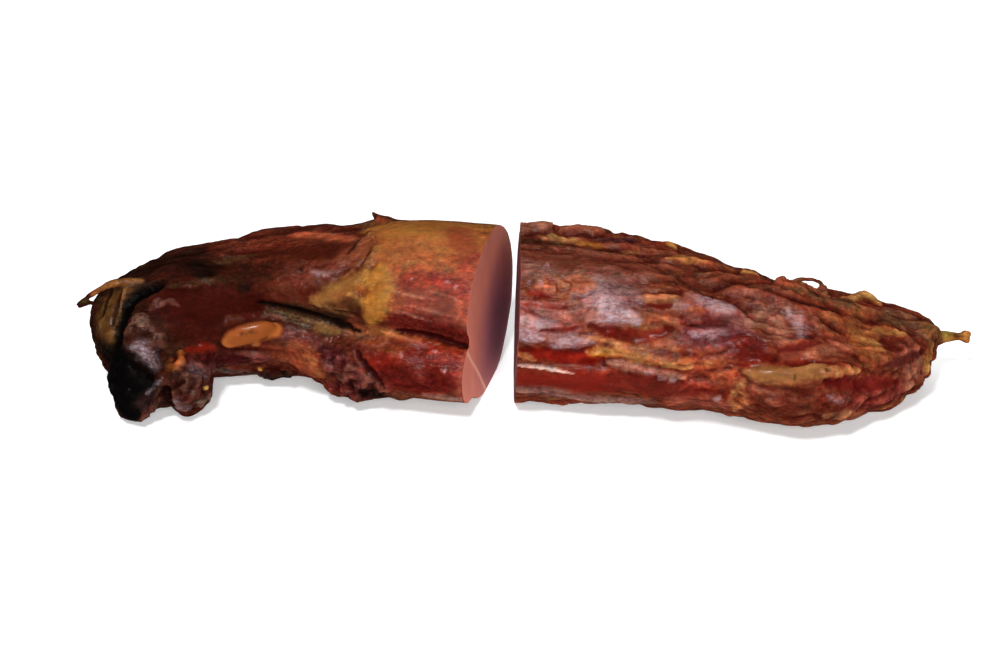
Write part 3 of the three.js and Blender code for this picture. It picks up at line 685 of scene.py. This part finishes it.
def weighted(amounts, parts):
    """Parts added up, each times its own amount."""
    return sum(amount * part for amount, part in zip(amounts, parts))


# The photograph's lines of sight

def camera_place():
    """Where the camera stands."""
    height = math.radians(CAMERA_HEIGHT_DEG)
    return CAMERA_AIM + CAMERA_DISTANCE * Vector((0, -math.cos(height), math.sin(height)))


def line_of_sight(pixel):
    """The direction from the camera through a pixel of the photograph."""
    height = math.radians(CAMERA_HEIGHT_DEG)
    right = Vector((1, 0, 0))
    up = Vector((0, math.sin(height), math.cos(height)))
    ahead = Vector((0, math.cos(height), -math.sin(height)))
    across = (pixel[0] - PHOTO_WIDTH / 2) * SENSOR / PHOTO_WIDTH / LENS
    above = (PHOTO_HEIGHT / 2 - pixel[1]) * SENSOR / PHOTO_WIDTH / LENS
    return (ahead + right * across + up * above).normalized()


def surface_point(tree, pixel):
    """The point of the meat that shows at a pixel, or the nearest one if the line of sight passes it by."""
    direction = line_of_sight(pixel)
    hit = tree.ray_cast(camera_place(), direction)[0]
    if hit is None:
        hit = tree.find_nearest(camera_place() + direction * CAMERA_DISTANCE)[0]
    return hit


def spline(path):
    """Pixels close together on a smooth curve through a path's points."""
    points = [np.array(point, float) for point in pixels(path)]
    if len(points) == 1:
        return points
    ends = [2 * points[0] - points[1]] + points + [2 * points[-1] - points[-2]]
    curve = []
    for before, start, end, after in zip(ends, ends[1:], ends[2:], ends[3:]):
        steps = max(2, int(np.linalg.norm(end - start) / MARK_STEP))
        for part in np.linspace(0, 1, steps, endpoint=False):
            curve.append(0.5 * (2 * start + (end - before) * part
                                + (2 * before - 5 * start + 4 * end - after) * part ** 2
                                + (3 * start - before - 3 * end + after) * part ** 3))
    return curve + [points[-1]]


# The fine mesh of one half

def cut_plane(solid, side):
    """The knife's cut, which is the largest flat area that faces its side."""
    groups = {}
    for polygon in solid.data.polygons:
        if polygon.normal.x * side > FACES_THE_CUT:
            direction = tuple(round(part, DIRECTION_DIGITS) for part in polygon.normal)
            groups.setdefault(direction, []).append(polygon)
    cut = max(groups.values(), key=lambda group: sum(polygon.area for polygon in group))
    largest = max(cut, key=lambda polygon: polygon.area)
    return Plane(largest.center / MM, largest.normal.copy())


def turned(plane, degrees):
    """The plane turned about an upright line at the meat's back."""
    level = Vector((-plane.normal.y, plane.normal.x, 0))
    pivot = plane.point + level * ((TAIL_CUT_PIVOT - plane.point.y) / level.y)
    return Plane(pivot, Matrix.Rotation(math.radians(degrees), 3, "Z") @ plane.normal)


def longer_solid(solid, plane):
    """The solid's mesh in millimetres, run on past the cut, so that the cut can be made again at the end."""
    work = bmesh.new()
    work.from_mesh(solid.data)
    bmesh.ops.scale(work, vec=Vector((1, 1, 1)) / MM, verts=work.verts)
    bmesh.ops.remove_doubles(work, verts=work.verts, dist=ON_THE_CUT)
    for vertex in work.verts:
        if abs((vertex.co - plane.point).dot(plane.normal)) < ON_THE_CUT:
            vertex.co += plane.normal * CUT_ALLOWANCE
    mesh = bpy.data.meshes.new("longer")
    work.to_mesh(mesh)
    work.free()
    return mesh


def even_mesh(mesh):
    """The same shape with small faces of one size."""
    holder = bpy.data.objects.new("holder", mesh)
    bpy.context.scene.collection.objects.link(holder)
    remesh = holder.modifiers.new("even", "REMESH")
    remesh.mode = "VOXEL"
    remesh.voxel_size = VOXEL
    depsgraph = bpy.context.evaluated_depsgraph_get()
    fine = bpy.data.meshes.new_from_object(holder.evaluated_get(depsgraph))
    bpy.data.objects.remove(holder)
    bpy.data.meshes.remove(mesh)
    return fine


def read_vectors(values, name):
    """A mesh's places or directions as an array."""
    vectors = np.zeros(len(values) * 3)
    values.foreach_get(name, vectors)
    return vectors.reshape(-1, 3)


def write_points(mesh, points):
    """Moves a mesh's vertices."""
    mesh.vertices.foreach_set("co", points.ravel())
    mesh.update()


def surface_tree(mesh):
    """The mesh as a tree for lines of sight."""
    points = [vertex.co for vertex in mesh.vertices]
    polygons = [polygon.vertices[:] for polygon in mesh.polygons]
    return BVHTree.FromPolygons(points, polygons)


def thin_places(mesh):
    """1 where the meat is thin, as in sinews and flakes, and 0 elsewhere."""
    tree = surface_tree(mesh)
    thin = np.zeros(len(mesh.vertices))
    for index, (vertex, normal) in enumerate(zip(mesh.vertices, mesh.vertex_normals)):
        inward = -normal.vector
        if tree.ray_cast(vertex.co + inward * VOXEL / 2, inward, THIN)[0] is not None:
            thin[index] = 1
    return neighbour_mean(mesh, thin[:, None], THIN_SPREAD_PASSES, SMOOTHING_PULL)[:, 0]


def neighbour_mean(mesh, values, passes, pull):
    """Values on the vertices, each moved towards its neighbours' mean a number of times."""
    edges = np.zeros(len(mesh.edges) * 2, int)
    mesh.edges.foreach_get("vertices", edges)
    start = np.concatenate([edges[0::2], edges[1::2]])
    end = np.concatenate([edges[1::2], edges[0::2]])
    total = len(mesh.vertices)
    count = np.maximum(np.bincount(start, minlength=total), 1)[:, None]
    for _ in range(passes):
        sums = [np.bincount(start, weights=column[end], minlength=total) for column in values.T]
        values = values + (np.stack(sums, axis=1) / count - values) * pull
    return values


def smooth_mesh(solid, plane):
    """One half as a fine mesh without the facets of its solid, and where it is thin."""
    mesh = even_mesh(longer_solid(solid, plane))
    thin = thin_places(mesh)
    pull = SMOOTHING_PULL + (THIN_PULL - SMOOTHING_PULL) * thin
    points = read_vectors(mesh.vertices, "co")
    write_points(mesh, neighbour_mean(mesh, points, SMOOTHING_PASSES, pull[:, None]))
    return mesh, thin


# The meat while it is worked on

class Meat:
    """One half: its points, the relief to add along its normals, its colour and gloss."""

    def __init__(self, mesh, thin):
        self.mesh = mesh
        self.points = read_vectors(mesh.vertices, "co")
        self.normals = read_vectors(mesh.vertex_normals, "vector")
        self.tree = surface_tree(mesh)
        self.thin = thin
        self.relief = np.zeros(len(self.points))
        self.colour = np.zeros((len(self.points), 3))
        self.gloss = np.full(len(self.points), PLAIN_GLOSS)
        self.even = np.zeros(len(self.points))
        self.film = np.zeros(len(self.points))

    def paint(self, colour, cover):
        """Lays a colour over the meat, as much as cover says at each point."""
        self.colour += (np.asarray(colour, float) - self.colour) * np.asarray(cover)[:, None]

    def fill(self, field, points, where):
        """Lays a field of colour on a part of the meat."""
        cover = field.cover + field.variation * noise(points, field.wave, field.shift)
        self.paint(field.colour, where * cover)

    def blotch(self, blotches, points):
        """Lays blotches all over the meat."""
        for one in blotches:
            shows = smoothstep(one.low, one.high, noise(points, one.wave, one.shift))
            self.paint(one.colour, one.cover * shows)

    def lay(self, mark):
        """Lays one mark on the meat."""
        across, down = pixels(mark.path)[0]
        phase = PHASE_ACROSS * across + PHASE_DOWN * down
        near, shape = self.shape_of(mark, phase)
        points = self.points[near]
        self.relief[near] += shape * (HEIGHT_GAIN * mark.height - mark.calm * self.relief[near])
        if mark.rough:
            fine_crags = FINE_CRAG_SHARE * creases(points, FINE_CRAG_WAVE, phase + FINE_CRAG_SHIFT)
            self.relief[near] += mark.rough * shape * (creases(points, CRAG_WAVE, phase) + fine_crags)
        self.gloss[near] += mark.gloss * shape
        self.even[near] += (mark.calm - self.even[near]) * shape
        self.film[near] += (mark.film - self.film[near]) * shape
        if mark.colour is not None:
            at_edge = 4 * shape * (1 - shape)
            broken = EDGE_BREAK * mark.ragged * at_edge * layered(points, BROKEN_EDGE, phase)
            cover = mark.cover * smoothstep(*EDGE_COVER, shape + broken)
            cover *= 1 - mark.speckle * smoothstep(*SPECK_COVER, layered(points, SPECKS, phase))
            self.colour[near] += (np.array(mark.colour, float) - self.colour[near]) * cover[:, None]

    def shape_of(self, mark, phase):
        """The numbers of the points near a mark, and how much of it each has. Its edge wanders."""
        spots = np.array([surface_point(self.tree, pixel) for pixel in spline(mark.path)])
        place = np.linspace(0, math.pi, len(spots))
        half_breadths = mark.breadth / 2 * (mark.tip + (1 - mark.tip) * np.sqrt(np.sin(place)))
        if len(spots) == 1:
            half_breadths[:] = mark.breadth / 2
        reach = mark.breadth / 2 * (1 + mark.soft) + mark.ragged * (mark.breadth + WANDER_ROOM)
        low, high = spots.min(axis=0) - reach, spots.max(axis=0) + reach
        near = np.nonzero(np.all((self.points > low) & (self.points < high), axis=1))[0]
        points = self.points[near]
        wander = EDGE_WANDER * mark.ragged * mark.breadth
        strayed = points + stray(points, max(EDGE_WAVE_LEAST, mark.breadth), wander, phase)
        strayed += stray(points, FINE_WAVE, FINE_WANDER * mark.ragged, phase + FINE_SHIFT)
        away = np.full(len(near), np.inf)
        for spot, half_breadth in zip(spots, half_breadths):
            away = np.minimum(away, np.linalg.norm(strayed - spot, axis=1) / half_breadth)
        return near, 1 - smoothstep(1 - mark.soft, 1 + mark.soft, away)


# Wrinkles, fibres and blotches by rule

def head_rule(meat):
    """Relief and colour all round the head half."""
    points = along(meat.points)
    x = meat.points[:, 0]
    burnt = smoothstep(*BURNT_END, x)
    by_cut = smoothstep(*CAPE_EDGE, x + layered(points, CAPE_EDGE_WANDER))
    behind = smoothstep(*BACK_TURN, meat.normals[:, 1])
    above = smoothstep(*TOP_TURN, meat.normals[:, 2])
    kinds = [creases(points, *waves) for waves in HEAD_CREASES]
    off_cape = weighted(HEAD_RELIEF, kinds) + behind * weighted(BACK_RELIEF, kinds)
    meat.relief += (1 - by_cut) * off_cape + weighted(CAPE_RELIEF, kinds)
    meat.colour[:] = MAROON
    meat.blotch(HEAD_BLOTCHES, points)
    meat.fill(CAPE_SIDE, points, by_cut)
    meat.fill(CAPE_TOP, points, by_cut * above)
    meat.fill(BURNT_FIELD, points, burnt)


def tail_rule(meat):
    """Relief and colour all round the tail half."""
    points = along(meat.points)
    kinds = [creases(points, *waves) for waves in TAIL_CREASES]
    meat.relief += layered(points, TAIL_LUMPS) + weighted(TAIL_RELIEF, kinds)
    meat.colour[:] = RED_BROWN
    meat.blotch(TAIL_BLOTCHES, points)


def finish_by_rule(meat):
    """Colour that follows the relief: darker and redder in hollows, with painted shade, paler on crests, with
    painted light, and mottled all over.
    """
    points = along(meat.points)
    mottle = layered(points, MOTTLE)[:, None] - layered(points, RED_MOTTLE)[:, None] * REDNESS
    meat.colour *= 1 + (1 - meat.even[:, None]) * mottle
    around = neighbour_mean(meat.mesh, meat.relief[:, None], AROUND_PASSES, SMOOTHING_PULL)[:, 0]
    proud = meat.relief - around
    meat.colour *= 1 - smoothstep(*HOLLOW, proud)[:, None] * HOLLOW_SHADE
    meat.paint(meat.colour * CREST_GAIN + CREST_TINT, smoothstep(*CREST, proud))


# From the worked meat to a piece

def displaced(meat):
    """Moves the mesh by its relief, less where the meat is thin or rests on what is under it."""
    facing_down = smoothstep(*UNDERSIDE_TURN, meat.normals[:, 2])
    underneath = facing_down * smoothstep(*UNDERSIDE_HEIGHT, meat.points[:, 2])
    amount = meat.relief * (1 - underneath) * (1 - THIN_RELIEF_LOSS * meat.thin)
    points = meat.points + meat.normals * amount[:, None]
    points[:, 2] = np.maximum(points[:, 2], 0)
    write_points(meat.mesh, points)


def linear_paint(colour):
    """Colours as they look, sRGB from 0 to 255, as Blender's linear values without the light's share."""
    part = np.clip(colour, 0, 255) / 255
    linear = np.where(part <= 0.04045, part / 12.92, ((part + 0.055) / 1.055) ** 2.4)
    return linear * PAINT_SHARE


def store_colours(meat):
    """Writes colour, gloss, crinkles and the pale layer with its painted sheen to the mesh."""
    opaque = np.ones((len(meat.points), 1))
    colour = meat.mesh.attributes.new("Colour", "FLOAT_COLOR", "POINT")
    colour.data.foreach_set("color", np.concatenate([linear_paint(meat.colour), opaque], axis=1).ravel())
    amounts = {"Gloss": meat.gloss, "Crinkle": PLAIN_CRINKLE * (1 - meat.even), "Film": meat.film}
    for name, amount in amounts.items():
        meat.mesh.attributes.new(name, "FLOAT", "POINT").data.foreach_set("value", np.clip(amount, 0, 1))


def burnt_faces(meat):
    """Gives the burnt crust to the faces that are dark."""
    light = meat.colour.mean(axis=1) + layered(meat.points, BURNT_SPECKS)
    for polygon in meat.mesh.polygons:
        if light[list(polygon.vertices)].mean() < BURNT_BELOW:
            polygon.material_index = BURNT_SLOT


def sliced(mesh, plane):
    """Cuts the mesh at the knife's plane, closes it with a flat face and brings it to metres."""
    work = bmesh.new()
    work.from_mesh(mesh)
    everything = work.verts[:] + work.edges[:] + work.faces[:]
    cut = bmesh.ops.bisect_plane(work, geom=everything, dist=CUT_TOLERANCE, plane_co=plane.point,
                                 plane_no=plane.normal, clear_outer=True)
    rim = [part for part in cut["geom_cut"] if isinstance(part, bmesh.types.BMEdge)]
    face = bmesh.ops.triangle_fill(work, use_beauty=True, edges=rim, normal=plane.normal)
    for part in face["geom"]:
        if isinstance(part, bmesh.types.BMFace):
            part.material_index = CUT_SLOT
            if part.normal.dot(plane.normal) < 0:
                part.normal_flip()
    for polygon in work.faces:
        polygon.smooth = polygon.material_index != CUT_SLOT
    for edge in rim:
        edge.smooth = False
    bmesh.ops.scale(work, vec=Vector((1, 1, 1)) * MM, verts=work.verts)
    work.to_mesh(mesh)
    work.free()
    mesh.update()


def dressed_half(node, side, turn, rule, marks, materials):
    """One finished half, riding where its solid was."""
    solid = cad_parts[node]
    plane = cut_plane(solid, side)
    meat = Meat(*smooth_mesh(solid, plane))
    rule(meat)
    for mark in marks:
        meat.lay(mark)
    finish_by_rule(meat)
    store_colours(meat)
    displaced(meat)
    for slot in (CRUST_SLOT, CUT_SLOT, BURNT_SLOT):
        meat.mesh.materials.append(materials[slot])
    burnt_faces(meat)
    sliced(meat.mesh, turned(plane, turn))
    piece = bpy.data.objects.new(node + "_meat", meat.mesh)
    bpy.context.scene.collection.objects.link(piece)
    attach(piece, "root")
    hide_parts(node)


# Materials

def new_material(name):
    """A plain node material: itself, its tree and its surface shader."""
    material = bpy.data.materials.new(name)
    material.use_nodes = True
    return material, material.node_tree, material.node_tree.nodes["Principled BSDF"]


def fill_inputs(tree, node, inputs):
    """Links each of a node's inputs to another node's output, or sets it to a value."""
    for name, value in inputs.items():
        if isinstance(value, bpy.types.NodeSocket):
            tree.links.new(value, node.inputs[name])
        else:
            node.inputs[name].default_value = value


def add_node(tree, kind, inputs, **settings):
    """A new shader node."""
    node = tree.nodes.new("ShaderNode" + kind)
    for name, value in settings.items():
        setattr(node, name, value)
    fill_inputs(tree, node, inputs)
    return node


def own_place(tree):
    """The object's own coordinates, in metres."""
    return add_node(tree, "TexCoord", {}).outputs["Object"]


def waved(tree, place, waves):
    """Coordinates that count waves, so many to the metre along each axis."""
    return add_node(tree, "Mapping", {"Vector": place, "Scale": waves}).outputs["Vector"]


def noise_node(tree, place, waves, detail=3):
    """A noise with so many waves to the metre along each axis."""
    inputs = {"Vector": waved(tree, place, waves), "Scale": 1, "Detail": detail, "Roughness": NOISE_ROUGHNESS}
    return add_node(tree, "TexNoise", inputs).outputs["Fac"]


def crackle_node(tree, place, waves):
    """The distance to the cracks between small cells."""
    inputs = {"Vector": waved(tree, place, waves), "Scale": 1}
    return add_node(tree, "TexVoronoi", inputs, feature="DISTANCE_TO_EDGE").outputs["Distance"]


def attribute_node(tree, name, output="Fac"):
    """A value stored on the mesh's points."""
    return add_node(tree, "Attribute", {}, attribute_name=name).outputs[output]


def bump_node(tree, height, depth, strength, before=None):
    """A bump of the given depth in metres, as strong as another value says, on top of the one before it."""
    inputs = {"Height": height, "Distance": depth, "Strength": strength}
    if before is not None:
        inputs["Normal"] = before
    return add_node(tree, "Bump", inputs).outputs["Normal"]


def ranged(tree, value, new, old=NOISE_RANGE):
    """A value spread from its old range over a new one."""
    inputs = {"Value": value, "From Min": old[0], "From Max": old[1], "To Min": new[0], "To Max": new[1]}
    return add_node(tree, "MapRange", inputs).outputs["Result"]


def shaded(tree, colour, amount):
    """A colour made lighter or darker by an amount that varies."""
    return add_node(tree, "VectorMath", {0: colour, "Scale": amount}, operation="SCALE").outputs["Vector"]


def product(tree, first, second):
    """One varying amount times another."""
    return add_node(tree, "Math", {0: first, 1: second}, operation="MULTIPLY").outputs["Value"]


def wandering(tree, value, cloud):
    """A distance on the cut that the clouds make longer."""
    inputs = {0: cloud, 1: CUT_WANDER, 2: value}
    return add_node(tree, "Math", inputs, operation="MULTIPLY_ADD").outputs["Value"]


def mixed(tree, colour, over, amount):
    """A colour with another laid over it by an amount that varies."""
    inputs = {"Factor": amount, "A": colour, "B": over}
    return add_node(tree, "Mix", inputs, data_type="RGBA").outputs["Result"]


def ramp_node(tree, value, first, last, between):
    """Colours from first to last as the value goes from 0 to 1, with others at places between."""
    ramp = add_node(tree, "ValToRGB", {"Fac": value})
    stops = ramp.color_ramp.elements
    stops[0].color = (*first, 1)
    stops[1].color = (*last, 1)
    for place, colour in between:
        stops.new(place).color = (*colour, 1)
    return ramp.outputs["Color"]


def film_sheen_cover(tree, place):
    """How much of the pale dried layer and its painted sheen there is, with its grain and cracks."""
    grain = ranged(tree, noise_node(tree, place, FILM_SHEEN_GRAIN_WAVES), FILM_SHEEN_GRAIN_COVER, FILM_SHEEN_GRAIN_RANGE)
    cracks = ranged(tree, crackle_node(tree, place, FILM_SHEEN_CRACK_WAVES), FILM_SHEEN_CRACK_COVER, FILM_SHEEN_CRACK_EDGE)
    return product(tree, product(tree, attribute_node(tree, "Film"), grain), cracks)


def crust_material(name, shine):
    """The smoked outside in the mesh's colours, crinkled where it is dry and smooth where fat covers it."""
    material, tree, shader = new_material(name)
    place = own_place(tree)
    crinkle = noise_node(tree, place, CRINKLE_WAVES, CRINKLE_DETAIL)
    pebble = noise_node(tree, place, PEBBLE_WAVES)
    crackle = crackle_node(tree, place, CRACKLE_WAVES)
    plain = attribute_node(tree, "Colour", "Color")
    strength = attribute_node(tree, "Crinkle")
    # The colour is lighter where the fine bumps rise and darker where they sink: partly painted light and
    # shade
    colour = shaded(tree, plain, ranged(tree, crinkle, CRINKLE_SHADE))
    colour = shaded(tree, colour, ranged(tree, pebble, PEBBLE_SHADE))
    colour = shaded(tree, colour, ranged(tree, crackle, CRACKLE_SHADE, CRACKLE_SHADE_EDGE))
    colour = mixed(tree, plain, colour, strength)
    # The pale dried layer, its lilac partly painted sheen
    colour = mixed(tree, colour, FILM_SHEEN, film_sheen_cover(tree, place))
    bump = bump_node(tree, crinkle, CRINKLE_DEPTH, strength)
    bump = bump_node(tree, ranged(tree, crackle, (0, 1), CRACKLE_EDGE), CRACKLE_DEPTH, strength, bump)
    bump = bump_node(tree, pebble, PEBBLE_DEPTH, strength, bump)
    roughness = ranged(tree, attribute_node(tree, "Gloss"), GLOSS_ROUGHNESS, (0, 1))
    surface = {"Base Color": colour, "Roughness": roughness, "Specular IOR Level": shine, "Normal": bump}
    fill_inputs(tree, shader, {**surface, **CRUST_GLOW})
    return material


def seam(tree, place, cloud):
    """How much of the pale seam between the two muscles there is."""
    across = add_node(tree, "VectorMath", {0: place, 1: SEAM_SLANT}, operation="DOT_PRODUCT").outputs["Value"]
    along_reach = ranged(tree, wandering(tree, across, cloud), (0, 1), SEAM_REACH)
    none = (0, 0, 0)
    return ramp_node(tree, along_reach, none, none, [(part, (amount,) * 3) for part, amount in SEAM_STOPS])


def cut_material(name, rim, middle, deepest_shade):
    """Cut meat, painted darker from the rim towards a point at its back as shade, with fine fibres and a pale
    seam.
    """
    material, tree, shader = new_material(name)
    place = own_place(tree)
    fibre = noise_node(tree, place, FIBRE_WAVES, FIBRE_DETAIL)
    cloud = noise_node(tree, place, CLOUD_WAVES)
    # Darker towards a point at the back of the cut, as painted shade
    from_shade_centre = add_node(tree, "VectorMath", {0: place, 1: CUT_SHADE_CENTRE}, operation="DISTANCE").outputs["Value"]
    depth = ranged(tree, wandering(tree, from_shade_centre, cloud), (0, 1), CUT_SHADE_REACH)
    colour = ramp_node(tree, depth, rim, deepest_shade, [(CUT_MIDDLE, middle)])
    colour = shaded(tree, colour, ranged(tree, fibre, FIBRE_SHADE))
    colour = mixed(tree, colour, CREAM, seam(tree, place, cloud))
    bump = bump_node(tree, fibre, FIBRE_DEPTH, ranged(tree, cloud, FIBRE_STRENGTH))
    roughness = ranged(tree, fibre, FIBRE_ROUGHNESS)
    surface = {"Base Color": colour, "Roughness": roughness, "Specular IOR Level": CUT_SHINE, "Normal": bump}
    fill_inputs(tree, shader, {**surface, **CUT_GLOW})
    return material


def floor_material():
    """A plain pale surface."""
    material, tree, shader = new_material("pale_floor")
    surface = {"Base Color": FLOOR_GREY, "Roughness": FLOOR_ROUGHNESS}
    fill_inputs(tree, shader, {**surface, "Emission Color": WHITE, "Emission Strength": FLOOR_GLOW})
    return material


# The stage

def add_floor():
    """A wide pale floor under the meat, which the meat doesn't mirror."""
    mesh = bpy.data.meshes.new("floor")
    mesh.from_pydata([Vector(corner) * FLOOR_HALF_SIDE for corner in FLOOR_CORNERS], [], [(0, 1, 2, 3)])
    mesh.materials.append(floor_material())
    floor = bpy.data.objects.new("floor", mesh)
    bpy.context.scene.collection.objects.link(floor)
    floor.visible_glossy = False


def add_camera():
    """The camera at the photograph's angle."""
    data = bpy.data.cameras.new("camera")
    data.sensor_width = SENSOR
    data.lens = LENS
    camera = bpy.data.objects.new("camera", data)
    camera.location = camera_place() * MM
    camera.rotation_euler = (math.radians(90 - CAMERA_HEIGHT_DEG), 0, 0)
    bpy.context.scene.collection.objects.link(camera)
    bpy.context.scene.camera = camera


def add_light(light):
    """One light that faces the meat. One that doesn't shine lights it without a highlight."""
    data = bpy.data.lights.new(light.name, "AREA")
    data.size = light.size
    data.energy = light.power
    data.color = light.colour
    lamp = bpy.data.objects.new(light.name, data)
    lamp.location = light.place
    lamp.rotation_euler = (LIGHT_AIM - Vector(light.place)).to_track_quat("-Z", "Y").to_euler()
    lamp.visible_glossy = light.shines
    bpy.context.scene.collection.objects.link(lamp)


def add_room():
    """A dim white room, and colours shown as they are."""
    world = bpy.data.worlds.new("room")
    world.use_nodes = True
    tree = world.node_tree
    fill_inputs(tree, tree.nodes["Background"], {"Color": WHITE, "Strength": ROOM_LIGHT})
    bpy.context.scene.world = world
    bpy.context.scene.view_settings.view_transform = "Standard"


add_camera()
for each_light in LIGHTS:
    add_light(each_light)
add_room()
add_floor()
crust = crust_material("smoked_crust", CRUST_SHINE)
burnt_crust = crust_material("burnt_crust", BURNT_SHINE)
head_cut = cut_material("head_cut", SALMON, MAUVE, DARK_MAUVE)
# The tail's cut is painted dark, as in the shadow of the head half
tail_cut = cut_material("tail_cut", SHADOWED_MAUVE, SHADOWED_MAUVE, DARK_MAUVE)
dressed_half("head_half", 1, 0, head_rule, HEAD_MARKS, (crust, head_cut, burnt_crust))
dressed_half("tail_half", -1, TAIL_CUT_TURN_DEG, tail_rule, TAIL_MARKS, (crust, tail_cut, burnt_crust))
